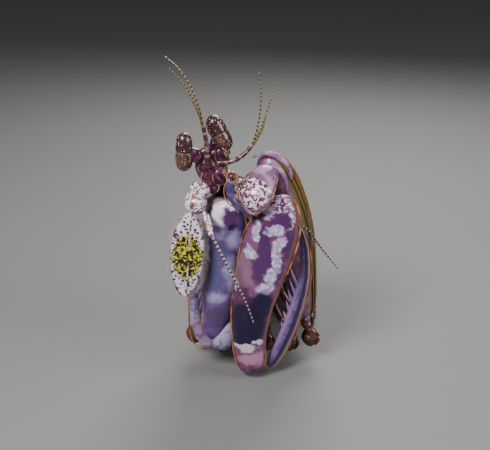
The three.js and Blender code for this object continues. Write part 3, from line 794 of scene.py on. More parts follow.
# %% [markdown]
# The wrist wears a wine-coloured net on white. The upper arms are lavender with an olive edge,
# and the toothed blade is blue and dark.
# %% Wrist, arm and blade finishes
def netted(name, net, ground, size, cover, edge=None):
    finish = Finish(name, roughness=0.26, coat=HORN_COAT)
    bent = finish.warped(size * 1.5, size * 1.1)
    web = finish.noise(size, 2, where=bent, warp=0.8).step(cover, cover + 0.06)
    blotch = finish.noise(size * 4, 2).step(0.5, 0.65)
    base = finish.mix(web, ground, net)
    base = finish.mix(blotch * 0.45, base, WINE)
    if edge:
        shell = mottled(finish, (0.30, 0.17, 0.27), (0.15, 0.06, 0.13), bent)
        base = finish.mix(1 - blots(finish, finish.warped(3.0, 1.6), edge, 0.12), base, shell)
    finish.colour(base)
    finish.bump(web, 0.07)
    return finish


def upper_arm_colours(name, lavender, spots):
    finish = Finish(name, roughness=0.24, coat=HORN_COAT)
    bent = finish.warped(2.6, 2.6)
    base = mottled(finish, lavender, (0.20, 0.08, 0.17), bent)
    wine_net = finish.noise(1.1, 2, where=bent, warp=1.0).step(0.52, 0.58)
    base = finish.mix(wine_net * (0.25 + 0.5 * finish.noise(5.0, 2).step(0.4, 0.6)), base, WINE)
    base = finish.mix(blots(finish, bent, spots, 0.5), base, (0.50, 0.38, 0.54))
    base = finish.mix(finish.own(0).step(0.70, 0.92), base, OLIVE)
    finish.colour(base)
    finish.bump(finish.noise(0.9, 4) + 1.4 * finish.noise(3.0, 2), 0.25)
    return finish


def blade_colours():
    finish = Finish("toothed blade shell", roughness=0.24, coat=HORN_COAT)
    across = finish.own(0)
    streak = finish.noise(1.6, 3)
    base = finish.mix(streak.step(0.4, 0.6), (0.075, 0.045, 0.12), (0.13, 0.085, 0.21))
    base = finish.mix(1 - abs(across - 0.25).step(0.1, 0.5), base, (0.02, 0.012, 0.045))
    base = finish.mix(1 - across.step(-0.8, -0.35), base, (0.30, 0.19, 0.40))
    base = finish.mix(across.step(0.62, 0.8), base, (0.34, 0.18, 0.12))
    finish.colour(base)
    finish.bump(finish.noise(0.8, 3), 0.05)
    return finish


left_hand_finish = left_hand_colours()
right_hand_finish = right_hand_colours()
WRIST_SPOTS = [(254, 193, 16, 13), (253, 205, 5, 8)]
WRIST_NET = (0.11, 0.018, 0.055)
wrist_finish = netted("netted wrist shell", WRIST_NET, WHITE, 0.75, 0.45, WRIST_SPOTS)
ARM_COLOURS = {
    "left": ((0.30, 0.17, 0.29), [(266, 156, 18, 6), (285, 170, 8, 9)]),
    "right": ((0.20, 0.13, 0.26), [(200, 200, 10, 10)]),
}
arm_finishes = {
    side: upper_arm_colours(f"{side} upper arm shell", lavender, spots)
    for side, (lavender, spots) in ARM_COLOURS.items()
}
blade_finish = blade_colours()
FURROW_BLUES = ((0.045, 0.028, 0.10), (0.13, 0.075, 0.19))
furrow_finish = two_tone("smooth blue furrow", 0.16, 0.3, 3.0, (0.4, 0.6), *FURROW_BLUES)
tooth_finish = Finish("lavender tooth", roughness=0.2, coat=HORN_COAT)
tooth_length = tooth_finish.own(1).step(0.2, 0.9)
tooth_finish.colour(tooth_finish.mix(tooth_length, (0.24, 0.14, 0.46), (0.50, 0.30, 0.36)))
heel_finish = netted("pale lavender heel", (0.17, 0.12, 0.25), (0.30, 0.25, 0.38), 2.0, 0.5)
print("claw finishes made")

# %% [markdown]
# A claw has five segments. The two lower ones hang beside the body, the wrist caps them, and the
# long hand folds down in front with the toothed blade closed against its outer edge.
# %% Places of the claws
CLAWS = {
    "left": {
        "lower": [(7.5, 1.5, 23), (9.2, 1.2, 14), (13.5, 1.8, 7.2)],
        "arm": [
            (15.4, 1.6, 8), (13.6, -0.5, 17.4), (11.8, -3.4, 33), (8.6, -6.4, 45), (6.4, -7.8, 50),
            (5, -8.4, 54),
        ],
        "wrist": [(5.8, -12, 50.8), (3.4, -16.4, 49.4), (2.2, -19, 46.6), (1.7, -19.8, 42.8)],
        "hand": [
            (6.8, -15.6, 46.5), (7.4, -16.4, 41.5), (5.6, -17, 35), (4.4, -17, 30), (2.8, -17, 24.6),
            (1.4, -17, 18.2), (0.9, -17, 10.2), (1.4, -16.6, 5), (2.2, -16.4, 1.4),
        ],
        "blade": [
            (5.6, -14.8, 2.2), (8.4, -14, 5.8), (11.5, -13.4, 14.6), (13.2, -13, 20),
            (14.3, -12.8, 24.5), (14.6, -12.6, 29.8), (13.2, -12.4, 36), (12.2, -12.4, 38.5),
        ],
        "teeth": (0.14, 0.57),
        "inward": -1,
        "size": 1.0,
    },
    "right": {
        "lower": [(-1, 1.5, 23), (-3.4, 0.8, 14), (-7.6, 1, 7.2)],
        "arm": [(-9.2, 0.6, 8), (-9.6, -0.6, 16), (-9.4, -2.4, 28), (-8.8, -4, 39.6)],
        "wrist": [(-8, -5.2, 40.6), (-6.6, -8.2, 41), (-4.6, -11.4, 42.2), (-3.6, -13.2, 42.6)],
        "hand": [
            (-3.8, -13.6, 44), (-4.4, -13, 40), (-4.8, -12.5, 34.5), (-5.2, -12.7, 28.5),
            (-5.8, -12.7, 21.6), (-6.8, -12.7, 14), (-8.2, -12.5, 9),
        ],
        "blade": [
            (-4, -13, 13.4), (-4.9, -13.4, 8.6), (-7.4, -12.6, 4.2), (-10.6, -11, 6.6),
            (-12.2, -10, 14), (-13, -9.2, 22), (-12.2, -8.8, 31),
        ],
        "teeth": (0.4, 0.8),
        "inward": 1,
        "size": 0.88,
    },
}
ARM_SIDE = Vector((1, -0.4, 0))
HAND_SIDE = Vector((1, -0.1, 0))
HAND_PROFILE = [
    (0, 1.4, 0.9), (0.012, 2.8, 1.7), (0.04, 4.2, 2.4), (0.11, 5.4, 3.0), (0.26, 6.4, 3.4),
    (0.49, 5.3, 3.4), (0.63, 4.7, 3.2), (0.81, 3.9, 2.8), (0.92, 3.7, 2.4), (0.97, 2.9, 2.0),
    (0.99, 2.1, 1.5), (1, 1.0, 0.7),
]
BLADE_PROFILE = [
    (0, 0.7, 0.6), (0.015, 1.2, 1.0), (0.06, 1.7, 1.4), (0.25, 1.9, 1.5), (0.45, 1.75, 1.4),
    (0.65, 1.4, 1.2), (0.85, 1.05, 0.9), (0.95, 0.6, 0.5), (1, 0.12, 0.12),
]
HEEL_PROFILE = [
    (0, 0.8, 0.7), (0.015, 1.6, 1.3), (0.08, 2.8, 2.0), (0.2, 3.3, 2.1), (0.38, 2.2, 1.6),
    (0.6, 1.5, 1.2), (0.85, 1.0, 0.8), (1, 0.15, 0.15),
]
ARM_PROFILE = [
    (0, 1.0, 0.9), (0.012, 2.0, 1.8), (0.06, 3.1, 2.8), (0.25, 4.5, 3.9), (0.55, 5.0, 4.2),
    (0.8, 4.9, 4.2), (0.95, 3.8, 3.3), (0.985, 2.4, 2.1), (1, 1.1, 1.0),
]
WRIST_PROFILE = [
    (0, 1.2, 1.1), (0.03, 2.2, 2.0), (0.1, 2.9, 2.6), (0.25, 3.6, 3.0), (0.6, 4.3, 2.8),
    (0.75, 3.7, 2.2), (0.85, 2.7, 1.7), (0.94, 1.4, 1.0), (1, 0.3, 0.3),
]
SEGMENT_PROFILE = [(0, 0.3, 0.3), (0.02, 0.5, 0.5), (0.08, 0.82, 0.82), (0.3, 1, 1), (0.65, 0.95, 0.95)]
SEGMENT_PROFILE += [(0.9, 0.8, 0.8), (0.98, 0.5, 0.5), (1, 0.25, 0.25)]


def segment(name, points, wide, high, side=TO_LEFT, sides=12):
    profile = [(share, wide * w, high * h) for share, w, h in SEGMENT_PROFILE]
    return limb(name, points, profile, side, sides)


def edge_line(rings, side, lift=0.2, inset=0.97, first=1, last=-1):
    line = []
    for centre, turn, wide, high in rings[first : len(rings) + last]:
        line.append(centre + turn.col[0] * wide * inset * side + turn.col[1] * high * lift)
    return line


# %% [markdown]
# The upper arm is the swollen dome at the top right of the picture. Fine olive ridges run down
# its outer edge, where the shell is thin and lets the light through.
# %% Upper arms and hip segments
ARM_RIDGES = [(0.0, 0.18), (0.18, 0.24), (0.36, 0.14), (0.55, 0.18), (-0.3, 0.2)]


def upper_arm(side):
    c = CLAWS[side]
    rings = rings_on(c["arm"], ARM_PROFILE, ARM_SIDE, c["size"])
    arm = pull_shell(f"claw_merus_{side}", rings, 24)
    settle(arm, arm_finishes[side], [f"claw_merus_{side}"])
    outer = 1 if side == "left" else -1
    for lift, radius in ARM_RIDGES:
        line = edge_line(rings, outer, lift, math.sqrt(1 - lift**2))
        ridge = bead(f"arm_ridge_{side}_{round(lift * 100) % 100}", line, radius)
        settle(ridge, olive_finish)
    lower = segment(f"claw_ischium_{side}", c["lower"], 2.7, 2.5, ARM_SIDE, 16)
    settle(lower, arm_finishes["right"], [f"claw_ischium_{side}"])


OLIVES = (OLIVE, (0.24, 0.12, 0.04))
olive_finish = two_tone("thin olive shell edge", 0.25, HORN_COAT, 2.5, (0.4, 0.62), *OLIVES)
for side in CLAWS:
    upper_arm(side)

# %% [markdown]
# The wrist is a shield-shaped plate with a drawn-out lower tip and a golden rim. On the left
# claw a smooth blue furrow runs round it from a dark, rounded socket.
# %% Wrists
RIM = 0.17


def wrist(side):
    c = CLAWS[side]
    rings = rings_on(c["wrist"], WRIST_PROFILE, Vector((1, -0.3, 0)), c["size"])
    plate = pull_shell(f"claw_carpus_{side}", rings, 24)
    settle(plate, wrist_finish, [f"claw_carpus_{side}"])
    for way in (-1, 1):
        line = edge_line(rings, way, 0.25, 0.99, 3, 0)
        rim = bead(f"wrist_rim_{side}_{'near' if way > 0 else 'far'}", line, RIM)
        settle(rim, rim_finish)


for side in CLAWS:
    wrist(side)

FURROW_LINE = [(231, 178), (227.5, 188), (231, 200), (241, 208), (248, 214), (252, 222)]
FURROW_DEPTH = -19.0
FURROW_PROFILE = [(0, 0.5), (0.05, 0.85), (0.3, 1.0), (0.55, 0.95), (0.75, 0.7), (0.92, 0.34), (1, 0.12)]
furrow_path = [seen(column, row, FURROW_DEPTH) for column, row in FURROW_LINE]
furrow = limb("claw_furrow", furrow_path, [(t, r, r) for t, r in FURROW_PROFILE], RIGHTWARD, 16)
settle(furrow, furrow_finish)
for name, across, down in (("inner", 4.0, -2.4), ("outer", -3.8, 2.6)):
    rim_path = []
    for i, (column, row) in enumerate(FURROW_LINE):
        spread = 1 - 0.92 * (i / (len(FURROW_LINE) - 1)) ** 2
        rim_path.append(seen(column + across * spread, row + down * spread, FURROW_DEPTH - 0.2))
    settle(bead(f"furrow_rim_{name}", rim_path, 0.16, steps=28), rim_finish)

# %% [markdown]
# Soft folds swirl over the top of the left arm, above the wrist.
# %% Folds of the upper arm
FOLDS = [
    ([(252, 158), (264, 152), (277, 155), (288, 165), (293, 178)], -10.6, 0.9),
    ([(262, 168), (273, 165), (282, 171), (287, 184), (286, 194)], -12.2, 0.8),
    ([(274, 157), (284, 162), (290, 171), (291, 181)], -10.2, 0.6),
]
FOLD_PROFILE = [(0, 0.1), (0.1, 0.45), (0.35, 0.95), (0.6, 1.0), (0.85, 0.55), (1, 0.1)]
folds = []
for spots, depth, radius in FOLDS:
    path = [seen(column, row, depth) for column, row in spots]
    profile = [(t, r, r) for t, r in FOLD_PROFILE]
    folds.append(limb("arm_fold", path, profile, RIGHTWARD, 12, bulk=radius))
settle(joined("arm_folds", folds), arm_finishes["left"])


def cup(name, centre, way, radius, depth):
    steps = [(0, 0.7), (0.5, 1.1), (0.8, 1.2), (1.0, 1.05), (0.9, 0.86), (0.4, 0.7), (0.1, 0.3)]
    turn = facing(Vector(way).normalized(), TO_LEFT)
    rings = [(centre + turn.col[2] * depth * share, turn, radius * r, radius * r) for share, r in steps]
    return pull_shell(name, rings, 16)


SOCKET_SPOT, SOCKET_DEPTH = (233, 177), -18.6
PIT_SPOT, PIT_DEPTHS = (233, 177.5), (-18.4, -19.3)
socket = cup("claw_socket", seen(*SOCKET_SPOT, SOCKET_DEPTH), (-0.3, -1, 0.2), 1.25, 1.3)
settle(socket, rim_finish)
pit = segment("claw_socket_pit", [seen(*PIT_SPOT, depth) for depth in PIT_DEPTHS], 1.0, 1.0)
settle(pit, skin_finish)
print("wrists made")

# %% [markdown]
# The hand is a long flat shell that carries the patches. Golden beads mark both of its edges.
# %% Hands
def hand(side, finish):
    c = CLAWS[side]
    rings = rings_on(c["hand"], HAND_PROFILE, HAND_SIDE, c["size"])
    shell = pull_shell(f"claw_propodus_{side}", rings, 28)
    settle(shell, finish, [f"claw_propodus_{side}"])
    for way in (-1, 1):
        line = edge_line(rings, way, 0.12, 0.985, 2, -1)
        name, radius = ("near", 0.24) if way > 0 else ("far", 0.2)
        settle(bead(f"hand_edge_{side}_{name}", line, radius, steps=32), rim_finish)


hand("left", left_hand_finish)
hand("right", right_hand_finish)
print("hands made")

# %% [markdown]
# The blade is the spear. Its teeth point up and inwards, longest near the middle of the blade and
# quickly shorter towards the heel, and each is a little curved.
# %% Toothed blades
TOOTH_LENGTHS = [1.3, 1.7, 2.2, 2.8, 3.4, 4.1, 4.8, 5.6]
TOOTH_RADIUS = 0.62
BLADES = {"left": (BLADE_PROFILE, blade_finish), "right": (HEEL_PROFILE, heel_finish)}


def blade(side):
    c = CLAWS[side]
    profile, finish = BLADES[side]
    rings = rings_on(c["blade"], profile, TO_LEFT, c["size"])
    shell = pull_shell(f"claw_dactyl_{side}", rings, 20)
    settle(shell, finish, [f"claw_dactyl_{side}"])
    path = [Vector(point) for point in c["blade"]]
    teeth = []
    first, last = c["teeth"]
    for i, length in enumerate(TOOTH_LENGTHS):
        share = first + (last - first) * (i / (len(TOOTH_LENGTHS) - 1)) ** 0.9
        place, forward = on_curve(path, share)
        way = forward * 0.92 + Vector((c["inward"] * 0.62, -0.05, 0.1))
        root = place + Vector((c["inward"] * 1.1 * c["size"], -0.2, 0))
        long = length * c["size"] * dice.uniform(0.95, 1.05)
        teeth.append(spike("tooth", root, way, long, TOOTH_RADIUS, (0.4 * c["inward"], 0, 0.2), 10))
    settle(joined(f"blade_teeth_{side}", teeth), tooth_finish)
    outer = edge_line(rings, -c["inward"], 0.1, 0.97, 2, -1)
    settle(bead(f"blade_edge_{side}", outer, 0.2, steps=30), rim_finish)
    if side == "left":
        groove = edge_line(rings, 0.35, 0.97, 0.9, 2, -2)
        settle(bead("blade_rib_left", groove, 0.2, steps=30), furrow_finish)


for side in CLAWS:
    blade(side)
print("blades made")

# %% [markdown]
# The head is a dark wine-coloured core with small overlapping plates down its front, each with a
# golden rim. They guard the mouth. A pointed plate lies over the eyestalks' roots.
# %% Head
HEAD_PROFILE = [
    (0, 1.6, 1.6), (0.04, 2.8, 3.0), (0.3, 3.4, 4.1), (0.6, 3.5, 3.4), (0.85, 2.9, 2.4),
    (1, 1.7, 1.3),
]
HEAD_LINE = [(-6.2, -4.6, 47.6), (-7.6, -8.4, 50), (-8.6, -11.6, 52), (-8.9, -13.6, 53.6)]
head = limb("head", HEAD_LINE, HEAD_PROFILE, Vector((1, -0.2, 0)), 24)
settle(head, skin_finish, ["head"])


def domed_plate(name, centre, way, wide, tall, thick, tip):
    outline = [(0, 0.25, 0.5), (0.06, 0.55, 0.7), (0.25, 0.88, 0.95), (0.55, 1, 1)]
    outline += [(0.8, 0.78 * tip + 0.1, 0.9), (0.94, 0.42 * tip + 0.05, 0.6), (1, 0.12, 0.3)]
    profile = [(share, wide * w, thick * h) for share, w, h in outline]
    centre = Vector(centre)
    down = Vector(way).normalized() * tall
    bulge = Vector((0, -0.16 * tall, 0.04 * tall))
    rings = rings_on([centre - down, centre + bulge, centre + down], profile, TO_LEFT)
    plate = pull_shell(name, rings, 16)
    rims = []
    for side in (-1, 1):
        line = edge_line(rings, side, 0.3, 0.98, 1, 0)
        rims.append(bead(name + "_rim", line, 0.17, steps=12, sides=6))
    return plate, rims


MOUTH_PLATES = [
    ((212, 158), (-0.5, 0, -1), 1.7, 2.3), ((222, 157), (0.4, 0, -1), 1.5, 2.2),
    ((206, 165), (-0.5, 0, -1), 1.5, 2.1), ((217, 167), (0.1, 0, -1), 1.8, 2.3),
    ((209, 175), (-0.4, 0, -1), 1.6, 2.0), ((220, 177), (0.3, 0, -1), 1.7, 2.0),
    ((213, 184), (-0.1, 0, -1), 1.5, 2.2), ((203, 154), (-0.7, 0, -1), 1.2, 1.7),
]
MOUTH_DEPTH, MOUTH_STEP = -12.6, 0.25
plates, rims = [], []
for i, ((column, row), way, wide, tall) in enumerate(MOUTH_PLATES):
    centre = seen(column, row, MOUTH_DEPTH - MOUTH_STEP * (i % 3))
    plate, edges = domed_plate("mouth_plate", centre, way, wide, tall, 0.8, 1.0)
    plates.append(plate)
    rims += edges
settle(joined("mouth_plates", plates), skin_finish)
settle(joined("mouth_plate_rims", rims), rim_finish)

BEAK_PLACE, BEAK_WAY = (-6.6, -5.6, 53.7), (-0.32, -0.72, 0.6)
beak, beak_rims = domed_plate("rostral_plate", BEAK_PLACE, BEAK_WAY, 2.9, 3.4, 0.8, 0.8)
settle(beak, shell_finish, ["rostral_plate"])
settle(joined("rostral_rims", beak_rims), rim_finish)
print("head made")

# %% [markdown]
# Each eye is an oval of two lobes with a pinched band round its waist, set across the end of a
# stalk. The waist is where the special facets lie.
# %% Eyes
CORNEA_HALF = 4.5
STALK_WIDTH, STALK_HEIGHT = 1.9, 1.7
HOOD_OFFSET = Vector((0, -1.2, 0))
EYES = {
    "right": ((-13.7, -14, 55.9), (0.02, 0, 1), 1.95, (-9.6, -12.2, 54.4)),
    "left": ((-5.9, -10, 59.2), (-0.43, 0, 0.9), 2.15, (-6.9, -9.2, 54.6)),
}
EYE_PROFILE = [
    (0, 0.16), (0.015, 0.36), (0.05, 0.62), (0.1, 0.82), (0.16, 0.94), (0.24, 1.0), (0.32, 1.03),
    (0.4, 1.03), (0.46, 1.0), (0.49, 0.955), (0.5, 0.945), (0.51, 0.955), (0.54, 0.99),
    (0.6, 1.01), (0.68, 1.0), (0.76, 0.95), (0.84, 0.87), (0.9, 0.76), (0.95, 0.6),
    (0.985, 0.36), (1, 0.16),
]
for side, (centre, way, radius, root) in EYES.items():
    centre, way, root = Vector(centre), Vector(way).normalized() * CORNEA_HALF, Vector(root)
    profile = [(share, radius * r, radius * r) for share, r in EYE_PROFILE]
    eye = limb(f"eye_{side}", [centre - way, centre, centre + way], profile, TO_LEFT, 32)
    settle(eye, eye_finishes[side], [f"eye_{side}"])
    stalk_line = [root, root.lerp(centre, 0.5), centre]
    stalk = segment(f"eyestalk_{side}", stalk_line, STALK_WIDTH, STALK_HEIGHT, TO_FRONT, 16)
    settle(stalk, skin_finish, [f"eyestalk_{side}"])
    hood_place = root.lerp(centre, 0.35) + HOOD_OFFSET
    hood, hood_rims = domed_plate("eye_hood", hood_place, way, 1.3, 1.6, 0.6, 1.0)
    settle(joined(f"eye_hood_{side}", [hood, *hood_rims]), skin_finish)
print("eyes made")

# %% [markdown]
# An antennule is a thin barred stalk of four segments. Three ringed whips spring from its end.
# %% Antennules
ANTENNULES = {
    "right": {
        "stalk": [
            (-8.4, -13.6, 53.2), (-8.5, -14.2, 56), (-8.7, -14.2, 58.5), (-9.1, -14, 60.6),
            (-9.4, -14, 62.4),
        ],
        "whips": [
            [
                (-9.3, -14, 62), (-10.2, -13.4, 66), (-12.2, -12.6, 70.8), (-14.8, -11.4, 74.4),
                (-17.8, -10, 76.8),
            ],
            [(-9.6, -14, 62), (-11, -14.4, 67), (-13.6, -14.6, 71.8), (-16.6, -14.6, 75)],
            [(-9.5, -14.4, 62), (-10.6, -16, 66), (-12.4, -16.8, 69.6)],
        ],
    },
    "left": {
        "stalk": [
            (-6.2, -13, 53), (-3.4, -13.4, 53.4), (-1.1, -13.2, 54.4), (0.6, -12.8, 55.8),
            (1.8, -12.4, 57.4),
        ],
        "whips": [
            [(1.7, -12.4, 57), (3, -12, 62), (3.6, -12, 68.4), (3.1, -12, 73.6)],
            [(1.9, -12.4, 57), (4.3, -11, 62.4), (5.7, -10, 66.6), (7.3, -9, 70.7)],
            [(1.9, -12.8, 57), (3.9, -13.4, 61), (4.8, -14, 64.6)],
        ],
    },
}
STALK_PROFILE = [
    (0, 0.7), (0.02, 0.9), (0.12, 0.7), (0.24, 0.74), (0.26, 0.5), (0.28, 0.66), (0.4, 0.56),
    (0.51, 0.64), (0.53, 0.42), (0.55, 0.56), (0.65, 0.48), (0.76, 0.55), (0.78, 0.38), (0.8, 0.5),
    (0.98, 0.5), (1, 0.34),
]
for side, parts in ANTENNULES.items():
    profile = [(share, radius, radius) for share, radius in STALK_PROFILE]
    stalk = limb(f"antennule_{side}", parts["stalk"], profile, TO_FRONT, 12)
    settle(stalk, stalk_finish, [f"antennule_{side}"])
    for i, points in enumerate(parts["whips"]):
        feeler = whip(f"antennule_whip_{side}_{i + 1}", points, 0.22, 0.09, 60)
        settle(feeler, whip_finish)
print("antennules made")

# %% [markdown]
# Stiff hairs fringe the scales, the swimming leaves and the tail fan. One hair is a cone of three
# sides. An array repeats it, and a curve modifier lays the row along the edge of its plate, where
# every hair points outwards.
# %% Fringes
HAIR_LEAN = 0.25


def fringe(name, line, long, thin, gap, turn=Matrix.Identity(3), centre=(0, 0, 0)):
    bpy.ops.object.select_all(action="DESELECT")
    bpy.ops.curve.primitive_nurbs_path_add()
    path = bpy.context.object
    path.data.splines.clear()
    spline = path.data.splines.new("POLY")
    spline.points.add(len(line) - 1)
    for point, place in zip(spline.points, line):
        point.co = (*place, 1)
    path.data.twist_mode = "Z_UP"
    bpy.ops.object.select_all(action="DESELECT")
    hair_turn = (-math.pi / 2, 0, -HAIR_LEAN)
    radii = {"radius1": thin, "radius2": thin * 0.2}
    bpy.ops.mesh.primitive_cone_add(vertices=3, depth=long, rotation=hair_turn, **radii)
    hair = bpy.context.object
    hair.name = name
    hair.data.name = name
    hair.location = (long / 2 * math.sin(HAIR_LEAN), long / 2 * math.cos(HAIR_LEAN), 0)
    bpy.ops.object.transform_apply(location=True, rotation=True, scale=True)
    row = hair.modifiers.new("row", "ARRAY")
    row.fit_type = "FIT_CURVE"
    row.curve = path
    row.use_relative_offset = False
    row.use_constant_offset = True
    row.constant_offset_displace = (gap, 0, 0)
    edge = hair.modifiers.new("edge", "CURVE")
    edge.object = path
    bpy.ops.object.modifier_apply(modifier="row")
    bpy.ops.object.modifier_apply(modifier="edge")
    only(path)
    bpy.ops.object.delete()
    only(hair)
    hair.matrix_world = Matrix.Translation(Vector(centre)) @ turn.to_4x4()
    bpy.ops.object.transform_apply(location=True, rotation=True, scale=True)
    return hair


def oval(wide, long, bow, start, end, steps):
    line = []
    for i in range(steps + 1):
        angle = start + (end - start) * i / steps
        x, y = wide * math.cos(angle), long * math.sin(angle)
        line.append((x, y, bow * (1 - (y / long) ** 2)))
    return line


HAIR_GREYS = ((0.22, 0.20, 0.22), (0.42, 0.38, 0.36))
hair_finish = two_tone("pale grey hair", 0.5, 0.0, 2.0, (0.4, 0.6), *HAIR_GREYS)

# %% [markdown]
# The oval scale is white with chestnut spots round its margin, and yellow with black scribbles
# in the middle. A low rib runs down it.
# %% Antennal scales
def scale_colours():
    finish = Finish("spotted scale", roughness=0.3, coat=0.4)
    across, along = finish.own(0), finish.own(1) * 2 - 1
    away = (across * across + along * along).root()
    spots = 1 - finish.cells(0.80, where=finish.warped(0.9, 0.5)).step(0.36, 0.46)
    scribble = finish.noise(0.62, 2, where=finish.warped(0.8, 0.5), warp=0.6).step(0.43, 0.48)
    shape = (across * across * 0.85 + along * along * 6.0).root()
    middle = 1 - (shape + 0.7 * (finish.noise(0.8, 3) - 0.5)).step(0.74, 0.92)
    chalk = finish.mix(finish.noise(2.0, 3).step(0.4, 0.65), (0.50, 0.46, 0.56), WHITE)
    base = finish.mix(spots, chalk, (0.055, 0.014, 0.018))
    base = finish.mix(away.step(0.9, 0.99) * 0.7, base, (0.075, 0.02, 0.02))
    base = finish.mix(middle, base, YELLOW)
    base = finish.mix(middle * scribble, base, NEAR_BLACK)
    finish.colour(base)
    finish.bump(finish.noise(0.6, 3), 0.05)
    return finish


SCALE_HALF_WIDTH = 4.0
SCALE_HALF_THICKNESS = 0.5
SCALES = {
    "right": ((-12.5, -17.5, 42.9), (-14.1, -17.5, 21.9)),
    "left": ((1.4, -8.4, 43), (3, -8, 25)),
}
SCALE_BOW = 1.0
scale_finish = scale_colours()
for side, (top, low) in SCALES.items():
    top, low = Vector(top), Vector(low)
    middle = top.lerp(low, 0.5)
    profile = []
    for i in range(21):
        share = 0.5 - 0.5 * math.cos(math.pi * i / 20)
        width = math.sqrt(max(0.006, 1 - (2 * share - 1) ** 2)) * (1.05 - 0.1 * share)
        profile.append((share, SCALE_HALF_WIDTH * width, SCALE_HALF_THICKNESS * (0.3 + 0.7 * width)))
    scale_line = [top, middle + Vector((0, -SCALE_BOW, 0)), low]
    plate = limb(f"antennal_scale_{side}", scale_line, profile, TO_LEFT, 24)
    settle(plate, scale_finish, [f"antennal_scale_{side}"])
    turn = facing((top - low).normalized(), TO_LEFT)
    turn = Matrix((turn.col[0], turn.col[2], turn.col[0].cross(turn.col[2]))).transposed()
    half = (top - low).length / 2
    ends = math.radians(252), math.radians(-60)
    edge = oval(SCALE_HALF_WIDTH - 0.15, half - 0.2, SCALE_BOW, *ends, 60)
    hairs = fringe(f"scale_fringe_{side}", edge, 1.4, 0.05, 0.34, turn, middle)
    settle(hairs, hair_finish)
    rib_line = []
    for i in range(9):
        front = -SCALE_BOW * (1 - (i / 4 - 1) ** 2) - 0.42
        rib_line.append(top.lerp(low, 0.06 + 0.88 * i / 8) + Vector((0.4, front, 0)))
    settle(bead(f"scale_rib_{side}", rib_line, 0.2, steps=24, sides=6), scale_finish)
print("scales made")

# %% [markdown]
# An antenna has a knuckle of three lobes, white with brown and orange spots, and a banded whip
# that droops in front of the animal.
# %% Antennae
knuckle_finish = Finish("spotted antenna knuckle", roughness=0.28, coat=HORN_COAT)
knuckle_bent = knuckle_finish.warped(1.6, 1.6)
knuckle_spots = knuckle_finish.noise(0.95, 2, where=knuckle_bent, warp=1.2).step(0.47, 0.54)
knuckle_base = knuckle_finish.mix(knuckle_spots, WHITE, (0.12, 0.05, 0.045))
orange = knuckle_finish.noise(1.5, 2).step(0.58, 0.66)
knuckle_finish.colour(knuckle_finish.mix(orange * 0.7, knuckle_base, (0.30, 0.10, 0.035)))
ANTENNAE = {
    "right": {
        "knuckle": [(-9.6, -11.4, 47.4), (-11.2, -14.6, 45), (-11, -17, 42.2)],
        "whip": [
            (-9.2, -17.2, 42.8), (-8.4, -19, 41.4), (-8, -20.4, 39.7), (-7.2, -21, 37.9),
            (-2.9, -22.5, 29.5), (0, -23, 23.5), (2.1, -23, 17.5),
        ],
    },
    "left": {
        "knuckle": [(-4.6, -7.8, 47), (-1.6, -8, 45.6), (0.6, -8.2, 43.2)],
        "whip": [
            (0.8, -8.6, 44), (2.6, -10, 42.4), (5.4, -11.4, 41), (9.6, -11.4, 39.2), (14.6, -10.4, 36),
            (18, -9, 31), (22.5, -8, 25),
        ],
    },
}
KNUCKLE_PROFILE = [(0, 1.2, 1.1), (0.04, 2.0, 1.8), (0.2, 2.7, 2.4), (0.34, 2.5, 2.2), (0.38, 2.2, 2.0)]
KNUCKLE_PROFILE += [(0.42, 2.5, 2.2), (0.65, 2.8, 2.5), (0.8, 2.5, 2.2), (0.84, 2.1, 1.9), (0.88, 2.2, 1.9)]
KNUCKLE_PROFILE += [(0.97, 1.4, 1.2), (1, 0.7, 0.6)]
for side, parts in ANTENNAE.items():
    knuckle = limb(f"antenna_{side}", parts["knuckle"], KNUCKLE_PROFILE, Vector((1, -0.3, 0)), 20)
    settle(knuckle, knuckle_finish, [f"antenna_{side}"])
    base = segment(f"antenna_base_{side}", parts["whip"][:4], 0.85, 0.85, Vector((0, -1, 0.3)), 12)
    settle(base, knuckle_finish)
    feeler = whip(f"antenna_whip_{side}", parts["whip"][2:], 0.34, 0.14, 90, 10)
    settle(feeler, banded_finish)
print("antennae made")

# %% [markdown]
# The mouth limbs hang beside the claws. Each is a thin arm that ends in a round flat hand, orange
# brown with pale patches, and a hooked finger closes against its rim.
# %% Mouth limbs
limb_finish = Finish("orange brown limb", roughness=0.32, coat=0.35)
limb_clouds = limb_finish.noise(2.6, 3, where=limb_finish.warped(3.0, 1.6)).step(0.42, 0.6)
limb_base = limb_finish.mix(limb_clouds, (0.095, 0.028, 0.014), (0.032, 0.009, 0.014))
pale_spots = limb_finish.noise(1.8, 2).step(0.60, 0.66)
limb_finish.colour(limb_finish.mix(pale_spots, limb_base, (0.30, 0.22, 0.22)))
limb_finish.bump(limb_finish.noise(0.7, 3), 0.08)

MOUTH_LIMBS = {
    "maxilliped_3_left": ([(6.4, 1.4, 24.4), (9.6, -7.4, 17), (14.2, -7.6, 11)], (16.2, -7.2, 6.4)),
    "maxilliped_4_left": ([(5, 4, 20.6), (7, -8, 15), (9.8, -8.6, 10.4)], (11, -8.8, 6)),
    "maxilliped_5_left": ([(4.4, 6.5, 17.6), (4.4, -6, 13), (5.4, -7, 9.4)], (5.4, -7.6, 5.2)),
    "maxilliped_3_right": ([(-1.8, 1.2, 24.6), (-6.6, -6.2, 18), (-10.6, -6.4, 11)], (-12.6, -5.8, 6.6)),
    "maxilliped_4_right": ([(0, 4, 21), (-4.6, -6.6, 15), (-6.6, -6.8, 10)], (-7.8, -6.6, 5.6)),
    "maxilliped_5_right": ([(1.4, 6.5, 18), (-1.6, -5.6, 13), (-2.4, -6.4, 9)], (-2.4, -6.8, 5)),
}
MOUTH_ARM = [(0, 0.9, 0.8), (0.05, 1.1, 1.05), (0.3, 1.0, 0.95), (0.47, 0.8, 0.75), (0.5, 0.7, 0.65)]
